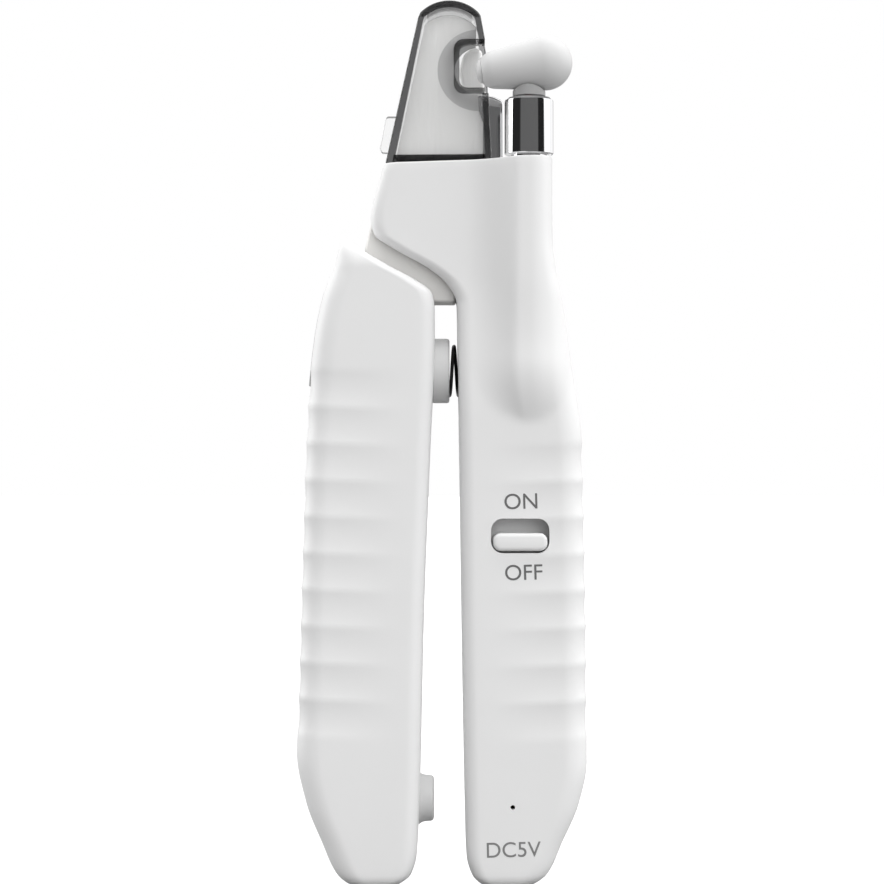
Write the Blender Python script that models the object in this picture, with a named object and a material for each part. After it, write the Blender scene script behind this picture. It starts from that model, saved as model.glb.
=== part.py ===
"""Lamp-lit pet nail clipper of plier type, modelled piece by piece.

Front view plane is XZ, -Y faces the user, +Z is up. Sizes are in millimetres and become metres in the meshes.
"""

import math

import bmesh
import bpy
import numpy as np
from mathutils import Matrix, Vector

MM = 0.001
GAP = 0.3

# Moves the drawing so that the origin lies under the middle of the whole object
CENTRE = (0.0, 1.525, 0.0)

# Height of the head's top at its right end, and its fall to the left
HEAD_TOP = 122.9
HEAD_TILT = 0.027

# Hinge of the lever and the blades
PIVOT_X = 1.74
PIVOT_Z = 112.4
PIN_R = 2.0

# Housing walls and sections
WALL = 2.2
HANDLE_DEPTH = 8.5
HEAD_FRONT = 6.8
INNER_EDGE_R = 2.0
OUTER_EDGE_RX = 9.0
OUTER_EDGE_RY = 6.6
END_FILLET = 2.2
PARTING = 0.15

# Grip scallops: lowest cusp, pitch, count, depth at the outer edge, slope of the rows
BODY_GRIP = (25.4, 6.17, 8)
LEVER_GRIP = (25.8, 6.14, 10)
SCALLOP_DEPTH = 0.45
ROW_SLOPE = 0.035

# Lamp axis and tube ridge
LAMP_X = 14.66
LAMP_Y = -7.0
TUBE_R = 4.1
FLANK_LEFT = 4.0
FLANK_RIGHT = 11.3

# Layers through the hinge, front to back
FIXED_BLADE_Y = (-1.0, 0.6)
MOVING_BLADE_Y = (1.0, 2.6)
ARM_Y = (2.9, 5.9)
NECK_PAD_Y = -3.0

# Origins of the moving pieces, each on its joint
LEVER_JOINT = (PIVOT_X, 0.0, PIVOT_Z)
LAMP_JOINT = (LAMP_X, LAMP_Y, 134.0)
FIXED_ORIGIN = (-CENTRE[0], -CENTRE[1], -CENTRE[2])
LEVER_PIECES = ["lever_front_shell", "lever_back_shell", "lever_arm", "moving_blade", "blade_rivet_1", "blade_rivet_2",
                "pivot_bush", "arm_screw_1", "arm_screw_2", "spring_seat", "bumper"]
LAMP_PIECES = ["neck_collar", "lamp_shell", "lamp_lens", "lamp_reflector", "lamp_led"]
JOINT_ORIGINS = {
    **{name: LEVER_JOINT for name in LEVER_PIECES},
    **{name: LAMP_JOINT for name in LAMP_PIECES},
    "switch_knob": (13.3, -6.5, 57.95),
    "clippings_cap": (-0.3, 2.85, HEAD_TOP + GAP),
    "lock_slider": (-20.5, 0.0, 93.3),
}

# Edges of the two handles as (height, x) stations
BODY_INNER = [(0, 7.4), (0.5, 6.7), (2.2, 5.1), (5.6, 4.15), (9, 4.05), (96, 2.6), (98.3, 2.55), (101.7, 0.9),
              (104.2, -2.0), (108.1, -8.8), (109.9, -11.3), (112.3, -12.0), (HEAD_TOP, -9.6)]
BODY_OUTER = [(0, 15.0), (0.5, 15.9), (2.2, 17.9), (7.3, 20.3), (14.1, 23.2), (20.9, 24.5), (25.4, 24.5),
              (74.8, 23.7), (87.2, 22.0), (99.1, 20.3), (104.2, 19.2), (110, 18.65), (HEAD_TOP, 18.6)]
LEVER_TOP = 109.3
LEVER_INNER = [(0, -7.8), (0.5, -7.2), (2.2, -5.2), (5.6, -4.2), (9, -4.0), (48.1, -3.0), (73.6, -2.0),
               (94, -1.2), (97.4, -1.2), (100, -1.66), (102.3, -4.5), (104.6, -8.8), (108.3, -14.75),
               (LEVER_TOP, -15.9)]
LEVER_OUTER = [(0, -15.1), (0.5, -16.0), (2.2, -17.8), (7.3, -20.2), (14.1, -22.9), (22.6, -24.5), (25.8, -24.4),
               (81.3, -22.6), (92.3, -21.5), (99.1, -20.2), (105, -18.1), (107.6, -17.3), (LEVER_TOP, -16.5)]

COLOURS = {
    "white_plastic": ((0.86, 0.86, 0.86), 0.45, 0.0),
    "grey_plastic": ((0.45, 0.45, 0.45), 0.5, 0.0),
    "neck_plastic": ((0.7, 0.69, 0.66), 0.5, 0.0),
    "steel": ((0.72, 0.72, 0.73), 0.3, 1.0),
    "chrome": ((0.85, 0.85, 0.86), 0.08, 1.0),
    "spring_steel": ((0.05, 0.05, 0.05), 0.4, 1.0),
    "smoky_clear": ((0.35, 0.35, 0.36), 0.08, 0.0),
    "clear": ((0.9, 0.92, 0.93), 0.05, 0.0),
    "board_green": ((0.05, 0.25, 0.12), 0.6, 0.0),
    "battery_foil": ((0.6, 0.62, 0.65), 0.35, 0.0),
    "black_plastic": ((0.04, 0.04, 0.04), 0.5, 0.0),
    "led_yellow": ((0.9, 0.75, 0.25), 0.5, 0.0),
    "wire_red": ((0.6, 0.05, 0.05), 0.5, 0.0),
}


def smooth_curve(stations):
    """Monotone cubic through (height, x) stations."""
    t = np.array([s[0] for s in stations], float)
    v = np.array([s[1] for s in stations], float)
    h = np.diff(t)
    d = np.diff(v) / h
    slope = np.zeros(len(t))
    slope[0] = d[0]
    slope[-1] = d[-1]
    for i in range(1, len(d)):
        if d[i - 1] * d[i] > 0:
            w1 = 2 * h[i] + h[i - 1]
            w2 = h[i] + 2 * h[i - 1]
            slope[i] = (w1 + w2) / (w1 / d[i - 1] + w2 / d[i])

    def value(z):
        i = int(np.clip(np.searchsorted(t, z) - 1, 0, len(h) - 1))
        u = min(max((z - t[i]) / h[i], 0.0), 1.0)
        a = (1 + 2 * u) * (1 - u) ** 2 * v[i] + u * u * (3 - 2 * u) * v[i + 1]
        b = u * (1 - u) ** 2 * slope[i] * h[i] + u * u * (u - 1) * slope[i + 1] * h[i]
        return a + b

    return value


def ramp(z, low, high):
    u = min(max((z - low) / (high - low), 0.0), 1.0)
    return u * u * (3 - 2 * u)


def material(name):
    found = bpy.data.materials.get(name)
    if found:
        return found
    colour, roughness, metallic = COLOURS[name]
    made = bpy.data.materials.new(name)
    made.use_nodes = True
    shader = made.node_tree.nodes["Principled BSDF"]
    shader.inputs["Base Color"].default_value = (*colour, 1)
    shader.inputs["Roughness"].default_value = roughness
    shader.inputs["Metallic"].default_value = metallic
    return made


def add_object(name, bm, finish=None):
    """Turns a bmesh drawn in millimetres into an object in metres. Without a finish it is a hidden cutter."""
    origin = Vector(JOINT_ORIGINS.get(name, FIXED_ORIGIN))
    bmesh.ops.remove_doubles(bm, verts=bm.verts, dist=1e-4)
    bmesh.ops.recalc_face_normals(bm, faces=bm.faces)
    bmesh.ops.transform(bm, matrix=Matrix.Scale(MM, 4) @ Matrix.Translation(-origin), verts=bm.verts)
    mesh = bpy.data.meshes.new(name)
    bm.to_mesh(mesh)
    bm.free()
    obj = bpy.data.objects.new(name, mesh)
    obj.location = (origin + Vector(CENTRE)) * MM
    bpy.context.scene.collection.objects.link(obj)
    if finish:
        mesh.materials.append(material(finish))
        mesh.shade_smooth()
        mesh.set_sharp_from_angle(angle=math.radians(35))
    else:
        obj.hide_render = True
        obj.display_type = "WIRE"
    return obj


def cut(obj, *cutters, operation="DIFFERENCE"):
    for cutter in cutters:
        modifier = obj.modifiers.new(cutter.name, "BOOLEAN")
        modifier.operation = operation
        modifier.solver = "EXACT"
        modifier.object = cutter


def loft(rings):
    """Closed skin through rings of equal point count."""
    bm = bmesh.new()
    made = [[bm.verts.new(p) for p in ring] for ring in rings]
    for low, high in zip(made, made[1:]):
        for i in range(len(low)):
            j = (i + 1) % len(low)
            bm.faces.new((low[i], low[j], high[j], high[i]))
    bm.faces.new(made[0][::-1])
    bm.faces.new(made[-1])
    return bm


def prism(outline, y0, y1):
    """Outline in XZ carried from y0 to y1."""
    bm = bmesh.new()
    face = bm.faces.new([bm.verts.new((x, y0, z)) for x, z in outline])
    grown = bmesh.ops.extrude_face_region(bm, geom=[face])
    moved = [g for g in grown["geom"] if isinstance(g, bmesh.types.BMVert)]
    bmesh.ops.translate(bm, verts=moved, vec=(0, y1 - y0, 0))
    return bm


def box(x0, x1, y0, y1, z0, z1):
    return prism([(x0, z0), (x1, z0), (x1, z1), (x0, z1)], y0, y1)


def rounded_rect(x0, x1, z0, z1, r, steps=4):
    points = arc(x1 - r, z1 - r, r, 0, 90, steps) + arc(x0 + r, z1 - r, r, 90, 180, steps)
    return points + arc(x0 + r, z0 + r, r, 180, 270, steps) + arc(x1 - r, z0 + r, r, 270, 360, steps)


def arc(cx, cz, r, start, end, steps):
    angles = np.radians(np.linspace(start, end, steps + 1))
    return [(cx + r * math.cos(a), cz + r * math.sin(a)) for a in angles]


def offset_outline(outline, distance):
    """Outline grown by distance, with mitred corners."""
    pts = [Vector(p) for p in outline]
    area = sum(a.x * b.y - b.x * a.y for a, b in zip(pts, pts[1:] + pts[:1]))
    side = 1 if area > 0 else -1
    grown = []
    for i, p in enumerate(pts):
        before = (p - pts[i - 1]).normalized()
        after = (pts[(i + 1) % len(pts)] - p).normalized()
        n1 = Vector((before.y, -before.x)) * side
        n2 = Vector((after.y, -after.x)) * side
        mid = (n1 + n2).normalized()
        grown.append(tuple(p + mid * distance / max(mid.dot(n1), 0.4)))
    return grown


def turned(profile, steps, place):
    """Profile of (radius, height) points revolved about Z and then placed."""
    bm = bmesh.new()
    verts = [bm.verts.new((r, 0, h)) for r, h in profile]
    edges = [bm.edges.new((a, b)) for a, b in zip(verts, verts[1:] + verts[:1]) if a.co != b.co]
    bmesh.ops.spin(bm, geom=verts + edges, cent=(0, 0, 0), axis=(0, 0, 1), angle=2 * math.pi, steps=steps,
                   use_merge=True)
    bmesh.ops.remove_doubles(bm, verts=bm.verts, dist=1e-4)
    bmesh.ops.transform(bm, matrix=place, verts=bm.verts)
    return bm


def along(axis, x, y, z):
    """Places a piece turned about Z so that its axis lies along X, Y or Z through a point."""
    turn = {"X": Matrix.Rotation(math.pi / 2, 4, "Y"),
            "Y": Matrix.Rotation(-math.pi / 2, 4, "X"),
            "Z": Matrix()}
    return Matrix.Translation((x, y, z)) @ turn[axis]


def rod(r, h0, h1, steps, place):
    return turned([(0, h0), (r, h0), (r, h1), (0, h1)], steps, place)


def tube(r_in, r_out, h0, h1, steps, place):
    return turned([(r_in, h0), (r_out, h0), (r_out, h1), (r_in, h1)], steps, place)


def merged(pieces):
    """Several bmeshes as one."""
    bm = bmesh.new()
    for piece in pieces:
        mesh = bpy.data.meshes.new("piece")
        piece.to_mesh(mesh)
        piece.free()
        bm.from_mesh(mesh)
        bpy.data.meshes.remove(mesh)
    return bm


def rods(spots, r, y0, y1, steps=12):
    return merged([rod(r, y0, y1, steps, along("Y", x, 0, z)) for x, z in spots])


def screws(spots, head_r, shank_r, y_tip, y_head, y_top):
    profile = [(0, y_tip), (shank_r, y_tip), (shank_r, y_head), (head_r, y_head), (head_r, y_top), (0, y_top)]
    return merged([turned(profile, 14, along("Y", x, 0, z)) for x, z in spots])


def scallop(z, grip):
    low, pitch, count = grip
    u = (z - low) / pitch
    if u <= 0 or u >= count:
        return 0.0
    f = u - math.floor(u)
    return 4 * f * (1 - f)


def section(z, inner, outer, front, back, grip, ridge, n_front, n_back, inset=0.0):
    """Ring of one handle at a height: tight inner edges, broad outer edges, scallops and the tube ridge."""
    side = 1 if outer > inner else -1
    width = abs(outer - inner) - 2 * inset
    start = inner + side * inset
    r_in = min(INNER_EDGE_R, 0.3 * width)
    rx = min(OUTER_EDGE_RX - 7 * ridge, 0.6 * width)
    ry = OUTER_EDGE_RY - 5 * ridge
    groove = SCALLOP_DEPTH * scallop(z, grip) if inset == 0 else 0.0
    slope = ROW_SLOPE * ramp(z, 8, 20) * (1 - ramp(z, 84, 96)) if inset == 0 else 0.0
    if ridge > 0:
        slope += HEAD_TILT * ramp(z, 112, HEAD_TOP)

    def depth(x, full, with_ridge):
        u = min(max((x - (width - rx)) / rx, 0.0), 1.0)
        v = min(max((r_in - x) / r_in, 0.0), 1.0)
        fade = ramp(x / width, 0.25, 0.9)
        d = full - inset - ry * (1 - math.sqrt(1 - u * u)) - r_in * (1 - math.sqrt(1 - v * v)) - groove * fade
        if with_ridge and inset == 0:
            d = max(d, tube_front(start + side * x, z))
        return max(d, 0.4)

    def ring_point(s, full, sign, with_ridge):
        x = width * (1 - math.cos(math.pi * s)) / 2
        d = depth(x, full, with_ridge)
        pull = groove * ramp(x / width, 0.8, 1.0)
        return (start + side * (x - pull), sign * d, z - slope * (width - x))

    front_points = [ring_point(s, front, -1, ridge > 0) for s in np.linspace(0, 1, n_front)]
    back_points = [ring_point(s, back, 1, False) for s in np.linspace(1, 0, n_back)]
    ring = front_points + back_points
    return ring if side > 0 else ring[::-1]


def tube_front(x, z):
    """Depth of the tube ridge on the head's front, which slopes back and sinks into the handle."""
    rise = min(max((z - 78) / 26, 0.0), 1.0)
    centre = 4.0 + 3.0 * rise
    u = x - LAMP_X
    if x < FLANK_RIGHT and x > FLANK_LEFT:
        w = (x - FLANK_LEFT) / (FLANK_RIGHT - FLANK_LEFT)
        edge = centre + math.sqrt(TUBE_R ** 2 - (FLANK_RIGHT - LAMP_X) ** 2)
        return HEAD_FRONT + (edge - HEAD_FRONT) * w * w
    if abs(u) >= TUBE_R:
        return 0.0
    return centre + math.sqrt(TUBE_R ** 2 - u * u)


def grip_heights(grip, per_scallop):
    low, pitch, count = grip
    return [low + pitch * k / per_scallop for k in range(count * per_scallop + 1)]


END_HEIGHTS = [0, 0.35, 0.9, 2.2, 4, 7.3, 11, 14.1, 17.5, 21]
body_inner = smooth_curve(BODY_INNER)
body_outer = smooth_curve(BODY_OUTER)
lever_inner = smooth_curve(LEVER_INNER)
lever_outer = smooth_curve(LEVER_OUTER)


def end_trim(z, top):
    """How much the rounded ends take off the depth."""
    near = min(z, top - z)
    if near >= END_FILLET:
        return 0.0
    return END_FILLET - math.sqrt(END_FILLET ** 2 - (END_FILLET - near) ** 2)


def body_ring(z, n_front=19, n_back=11, inset=0.0):
    head = ramp(z, 80, 104)
    front = HANDLE_DEPTH + (HEAD_FRONT - HANDLE_DEPTH) * head
    foot = end_trim(z, 400)
    inner = body_inner(z)
    outer = body_outer(z)
    return section(z, inner, outer, front - foot, HANDLE_DEPTH - foot, BODY_GRIP, head, n_front, n_back, inset)


def lever_ring(z, n_front=13, n_back=11, inset=0.0):
    trim = end_trim(z, LEVER_TOP)
    full = HANDLE_DEPTH - trim
    return section(z, lever_inner(z), lever_outer(z), full, full, LEVER_GRIP, 0.0, n_front, n_back, inset)


# Outlines in XZ around the hinge
ARM_STRIP = [(-15.0, 72), (-6.5, 72), (-5.5, 94), (-3.2, 97.2), (-1.5, 98.6), (2.4, 98.6), (2.6, 102.6),
             (5.6, 103.4), (8.3, 108.4), (8.4, 114), (5.6, 118.2), (-1.0, 119.3), (-6.0, 117.8), (-11.5, 113), (-12.9, 108.1),
             (-15.0, 103)]
NECK_PAD = [(-13.4, 104.5), (-4.5, 97.9), (-1.5, 98.75), (2.25, 98.75), (2.4, 102.6), (0.0, 104.6),
            (-4.8, 107.6), (-8.4, 111.0), (-11.9, 112.5), (-13.0, 107.9)]
HINGE_SLOT = [(-16, 97), (4.6, 97), (6.8, 99.8), (10, 107), (10.8, 113.5), (13.4, 120.3), (-6.8, 120.3),
              (-11, 116.2), (-16, 116.2)]
NECK_SLOT = [(-16.4, 96.7), (4.4, 96.7), (3.6, 103.2), (0.6, 106), (-3.8, 109.4), (-7.6, 113.8), (-11, 115.7),
             (-16.4, 115.7)]


def half_space(front):
    if front:
        return add_object("front_half_space", box(-40, 40, -30, -PARTING, -5, 160))
    return add_object("back_half_space", box(-40, 40, PARTING, 30, -5, 160))


def make_housings():
    heights = END_HEIGHTS + grip_heights(BODY_GRIP, 3)
    heights += [77, 80, 83, 86, 89, 92, 95, 97.5, 99.5, 101.5, 103, 104.5, 106, 107.5, 108.6, 109.6, 110.7]
    heights += [114, 119]
    body_rings = [body_ring(z) for z in heights] + [body_ring(HEAD_TOP - 0.5), flat_top(body_ring(HEAD_TOP))]
    lever_heights = END_HEIGHTS + grip_heights(LEVER_GRIP, 3)
    lever_heights += [91, 94, 96.5, 98.5, 100.3, 102, 103.5, 105, 106.5, 107.6, 108.5, 109.0]
    lever_rings = [lever_ring(z) for z in lever_heights]
    made = {}
    for name, front in (("front_shell", True), ("back_shell", False)):
        half = half_space(front)
        for body, rings in (("body", body_rings), ("lever", lever_rings)):
            shell = add_object(f"{body}_{name}", loft(rings), "white_plastic")
            cut(shell, half, operation="INTERSECT")
            made[f"{body}_{name}"] = shell
    return made


def head_top(x):
    return HEAD_TOP - HEAD_TILT * (18.6 - x)


def flat_top(ring):
    """Head's top ring, drawn in for its small edge radius."""
    centre = sum((Vector(p) for p in ring), Vector()) / len(ring)
    return [(p[0] - math.copysign(0.4, p[0] - centre.x), p[1] - math.copysign(0.4, p[1]), p[2]) for p in ring]


SCREW_SPOTS = [(15.5, 115.5), (14.0, 91.5), (17.5, 80.5)]
ARM_SCREW_SPOTS = [(-11.0, 76), (-11.0, 92)]
SPRING_Z = 87.1
SWITCH_X = (8.4, 18.2)
SWITCH_Z = (56.1, 61.9)
KNOB_TRAVEL = 2.2
SOCKET_X = 11.3


def cut_housings(shells):
    body_front = shells["body_front_shell"]
    body_back = shells["body_back_shell"]
    lever_front = shells["lever_front_shell"]
    lever_back = shells["lever_back_shell"]
    cavity_heights = [4.2, 8, 14, 22, 45, 70, 77]
    cavity = add_object("handle_cavity", loft([body_ring(z, 8, 8, WALL) for z in cavity_heights]))
    lever_hollow = add_object("lever_cavity", loft([lever_ring(z, 8, 8, WALL) for z in (24, 40, 60, 80, 96)]))
    hinge_slot = add_object("hinge_slot", prism(HINGE_SLOT, FIXED_BLADE_Y[0] - 0.4, ARM_Y[1] + 0.4))
    neck_slot = add_object("neck_slot", prism(NECK_SLOT, NECK_PAD_Y - 0.4, ARM_Y[1] + 0.35))
    blade_y = (FIXED_BLADE_Y[0] - 0.35, MOVING_BLADE_Y[1] + GAP)
    blade_slot = add_object("blade_slot", box(-8.2, 13.0, *blade_y, 119, 126))
    pocket = add_object("spring_pocket", rod(6.0, 1.0, 9.2, 24, along("X", 0, 0, SPRING_Z)))
    pin_bore = add_object("pin_bore", rod(PIN_R + GAP, -5.8, 7.6, 24, along("Y", PIVOT_X, 0, PIVOT_Z)))
    socket_mouth = add_object("socket_mouth", socket_block(0.35, -1.0, 5.0))
    screw_bore = add_object("screw_bore", screws(SCREW_SPOTS, 2.2, 1.3, -3.8, 6.5, 12))
    for shell in (body_front, body_back):
        cut(shell, cavity, hinge_slot, neck_slot, blade_slot, pocket, pin_bore, socket_mouth, screw_bore)
    channel = add_object("lead_channel", rod(1.2, 66.5, 126, 12, along("Z", LAMP_X, -6.2, 0)))
    spigot_hole = add_object("neck_hole", rod(3.3, 118.6, 126, 24, along("Z", LAMP_X, LAMP_Y, 0)))
    slot = add_object("switch_slot", prism(rounded_rect(*SWITCH_X, *SWITCH_Z, 2.0), -12, -4.5))
    pin_hole = add_object("indicator_hole", rod(0.4, -12, -4.5, 10, along("Y", 11.9, 0, 13.1)))
    dowel_holes = add_object("dowel_holes", rods(DOWEL_SPOTS, 1.2, -5.0, 0.5))
    cut(body_front, channel, spigot_hole, slot, pin_hole, dowel_holes)
    arm_way = add_object("arm_way", prism(offset_outline(ARM_STRIP, 0.4), NECK_PAD_Y - 0.4, ARM_Y[1] + 0.4))
    seat_hole = add_object("seat_hole", rod(2.8, -6.0, 2.0, 16, along("X", 0, 0, SPRING_Z)))
    bumper_hole = add_object("bumper_hole", rod(1.8, -8.0, 0.0, 14, along("X", 0, 0, BUMPER_Z)))
    track = add_object("lock_track", prism(lock_outline(1.6, 84.0, 105.6, 3.0), -2.0, 2.0))
    lever_bore = add_object("lever_screw_bore", screws(ARM_SCREW_SPOTS, 2.2, 1.3, 2.0, 6.9, 12))
    for shell in (lever_front, lever_back):
        cut(shell, lever_hollow, arm_way, seat_hole, bumper_hole, track)
    cut(lever_back, lever_bore)


def socket_block(grow, z0, z1):
    """Rounded slot of the charging inlet, long side along Y."""
    bm = prism(rounded_rect(-4.47 - grow, 4.47 + grow, -1.58 - grow, 1.58 + grow, 1.5 + grow), z0, z1)
    turn = Matrix(((0, 0, 1, SOCKET_X), (1, 0, 0, 0), (0, 1, 0, 0), (0, 0, 0, 1)))
    bmesh.ops.transform(bm, matrix=turn, verts=bm.verts)
    return bm


DOWEL_SPOTS = [(-3.4, 117.2), (5.6, 117.2)]
RIVET_SPOTS = [(PIVOT_X - 3.75, PIVOT_Z - 3.75), (PIVOT_X + 3.75, PIVOT_Z + 3.75)]
NOTCH_X = 6.2
NOTCH_Z = 138.3
NOTCH_R = 4.6
GRIND_R = 8.4


def make_blades():
    """Hooked fixed blade with its ground crescent, and the moving blade that sweeps behind it."""
    tang = arc(PIVOT_X, PIVOT_Z, 6.0, 180, 360, 14)
    outline = tang + [(6.9, 116.5), (5.2, 121), (7.0, 124.4), (7.0, 129.5), (6.3, 131.6), (5.8, 142.6)]
    outline += arc(1.2, 141.4, 5.9, 40, 130, 10) + [(-6.9, 124.2), (-6.7, 121), (-5.0, 116.5)]
    fixed = add_object("fixed_blade", prism(outline, *FIXED_BLADE_Y), "steel")
    grind = turned([(0, -1.6), (GRIND_R, -1.6), (NOTCH_R, 0.2), (NOTCH_R, 1.0), (0, 1.0)], 40,
                   along("Y", NOTCH_X, 0, NOTCH_Z))
    cut(fixed, add_object("crescent_grind", grind))
    cut(fixed, add_object("fixed_blade_bore", rod(PIN_R + GAP, -3, 3, 20, along("Y", PIVOT_X, 0, PIVOT_Z))))
    cut(fixed, add_object("blade_dowel_holes", rods(DOWEL_SPOTS, 1.2, -3, 3)))
    moving = arc(PIVOT_X, PIVOT_Z, 7.2, 100, 380, 20)
    moving += [(10.7, 122), (10.7, 133.4), (9.0, 134.2), (7.4, 134.6), (6.9, 142.2), (5.2, 142.6), (3.6, 141.2)]
    moving += [(3.0, 138.4), (3.4, 134.5), (5.5, 129), (5.2, 121.4)]
    blade = add_object("moving_blade", prism(moving, *MOVING_BLADE_Y), "chrome")
    cut(blade, add_object("moving_blade_bore", rod(PIN_R + GAP, -3, 8, 20, along("Y", PIVOT_X, 0, PIVOT_Z))))
    cut(blade, add_object("rivet_holes", rods(RIVET_SPOTS, 1.1, -2, 8)))
    for number, spot in enumerate(DOWEL_SPOTS, 1):
        add_object(f"blade_dowel_{number}", rods([spot], 0.9, -4.6, 0.3), "steel")
    for number, spot in enumerate(RIVET_SPOTS, 1):
        add_object(f"blade_rivet_{number}", rods([spot], 0.8, 1.2, 5.7), "steel")


def make_hinge():
    arm = add_object("lever_arm", prism(ARM_STRIP, *ARM_Y), "neck_plastic")
    cut(arm, add_object("neck_pad", prism(NECK_PAD, NECK_PAD_Y, ARM_Y[1] - 0.5)), operation="UNION")
    cut(arm, add_object("bush_bore", rod(3.6, 1, 8, 24, along("Y", PIVOT_X, 0, PIVOT_Z))))
    cut(arm, add_object("arm_rivet_holes", rods(RIVET_SPOTS, 1.1, 1, 8)))
    cut(arm, add_object("arm_screw_holes", rods(ARM_SCREW_SPOTS, 1.3, 1, 8)))
    add_object("pivot_bush", tube(PIN_R + GAP, 3.3, *ARM_Y, 24, along("Y", PIVOT_X, 0, PIVOT_Z)), "steel")
    add_object("pivot_pin", rod(PIN_R, -5.5, 7.3, 24, along("Y", PIVOT_X, 0, PIVOT_Z)), "steel")
    for number, spot in enumerate(ARM_SCREW_SPOTS, 1):
        add_object(f"arm_screw_{number}", screws([spot], 1.9, 1.0, 3.2, 7.2, 8.2), "steel")
    for number, spot in enumerate(SCREW_SPOTS, 1):
        add_object(f"housing_screw_{number}", screws([spot], 1.9, 1.0, -3.4, 6.8, 7.8), "steel")


BUMPER_Z = 14.2
SPRING_R = 3.4
SPRING_WIRE_R = 0.3
SPRING_TURNS = 5
SPRING_X = (0.95, 8.6)


def make_spring_and_stops():
    seat = [(0, -4.6), (2.5, -4.6), (2.5, -1.1), (5.1, -1.1), (5.5, -0.7), (5.5, 0.9), (5.1, 1.3), (4.2, 1.3),
            (4.2, 0.5), (0, 0.5)]
    add_object("spring_seat", turned(seat, 28, along("X", 0, 0, SPRING_Z)), "grey_plastic")
    stop = [(0, -6.4), (1.5, -6.4), (1.5, -3.5), (3.8, -3.5), (3.6, -2.9), (3.0, -2.4), (2.8, -1.8), (2.3, -1.3),
            (0, -1.3)]
    add_object("bumper", turned(stop, 24, along("X", 0, 0, BUMPER_Z)), "grey_plastic")
    make_spring()


def make_spring():
    """Return spring as one helical wire along X, with short straight ends."""
    per_turn = 10
    count = SPRING_TURNS * per_turn
    points = []
    for k in range(count + 1):
        a = 2 * math.pi * k / per_turn
        x = SPRING_X[0] + (SPRING_X[1] - SPRING_X[0]) * k / count
        points.append(Vector((x, SPRING_R * math.cos(a), SPRING_Z + SPRING_R * math.sin(a))))
    first = points[0] + Vector((0, 0, -2 * SPRING_WIRE_R))
    last = points[-1] + Vector((0, 0, 2 * SPRING_WIRE_R))
    points = [first] + points + [last]
    gaps = [(a - b).length for i, a in enumerate(points) for b in points[i + per_turn // 2:]]
    print(f"return spring least gap to itself {min(gaps) - 2 * SPRING_WIRE_R:.2f} mm")
    curve = bpy.data.curves.new("return_spring", "CURVE")
    curve.dimensions = "3D"
    curve.bevel_depth = SPRING_WIRE_R * MM
    curve.bevel_resolution = 1
    curve.use_fill_caps = True
    spline = curve.splines.new("POLY")
    spline.points.add(len(points) - 1)
    for target, p in zip(spline.points, points):
        target.co = (*((p + Vector(CENTRE)) * MM), 1)
    curve.materials.append(material("spring_steel"))
    bpy.context.scene.collection.objects.link(bpy.data.objects.new("return_spring", curve))


def lock_outline(depth, z0, z1, proud):
    """Strip along the lever's outer edge, straight inside and following the edge outside."""
    low = lever_outer(84.0)
    high = lever_outer(104.0)
    slope = (high - low) / 20.0
    heights = np.linspace(z0, z1, 6)
    floor = [(low + slope * (z - 84.0) + depth, z) for z in (z1, z0)]
    return [(lever_outer(z) - proud, z) for z in heights] + floor


def make_lock_slider():
    add_object("lock_slider", prism(lock_outline(1.2, 84.4, 102.2, 0.25), -1.6, 1.6), "grey_plastic")


def make_switch():
    knob = prism(rounded_rect(8.75, 17.85, 56.45, 59.45, 1.3), -8.9, -4.1)
    switch = add_object("switch_knob", knob, "white_plastic")
    flange = add_object("knob_flange", box(7.4, 18.6, -4.4, -3.7, 52.8, 62.8))
    stem = add_object("knob_stem", box(12.3, 14.3, -4.0, -2.7, 57.0, 59.0))
    cut(switch, flange, stem, operation="UNION")
    body = add_object("switch_body", box(9.5, 17.1, -3.4, -1.2, 53.5, 64.5), "black_plastic")
    cut(body, add_object("stem_slot", box(11.9, 14.7, -6.0, -2.4, 56.6, 61.6)))


def make_electronics():
    board = [(8.6, 10.2), (17.0, 10.2), (19.2, 16), (20.2, 24), (20.2, 74), (7.0, 74), (7.0, 12)]
    add_object("circuit_board", prism(board, -0.9, 0.1), "board_green")
    add_object("battery_cell", prism(rounded_rect(7.2, 16.4, 26, 64, 1.5), 0.5, 5.0), "battery_foil")
    shell = add_object("charge_socket", socket_block(0.0, 0.3, 8.0), "steel")
    cut(shell, add_object("socket_hollow", socket_block(-0.32, -1.0, 7.2)))
    add_object("socket_tongue", box(SOCKET_X - 0.35, SOCKET_X + 0.35, -3.3, 3.3, 1.6, 6.8), "black_plastic")
    add_object("indicator_led", box(11.1, 12.7, -1.9, -1.2, 12.6, 13.6), "led_yellow")
    add_object("lamp_lead", rod(0.7, 68, 133.6, 10, along("Z", LAMP_X, -6.2, 0)), "wire_red")


EGG_BACK = (17.4, 138.6, 4.55)
EGG_NOSE = (9.1, 137.5, 3.2)
EGG_WALL = 1.1
EGG_MOUTH = 50
NECK_TOP = 132.7
LENS_R = 1.75
LENS_RISE = 0.9


def egg_profile(grow, mouth):
    """Outer profile of the lamp head along its own axis, from the round back to the nose mouth."""
    length = math.hypot(EGG_BACK[0] - EGG_NOSE[0], EGG_BACK[1] - EGG_NOSE[1])
    r0 = EGG_BACK[2] + grow
    r1 = EGG_NOSE[2] + grow
    tilt = math.asin((r0 - r1) / length)
    points = []
    for a in np.linspace(-90, math.degrees(tilt), 9):
        points.append((r0 * math.cos(math.radians(a)), r0 * math.sin(math.radians(a))))
    for a in np.linspace(math.degrees(tilt), mouth, 4):
        points.append((r1 * math.cos(math.radians(a)), length + r1 * math.sin(math.radians(a))))
    return points


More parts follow.
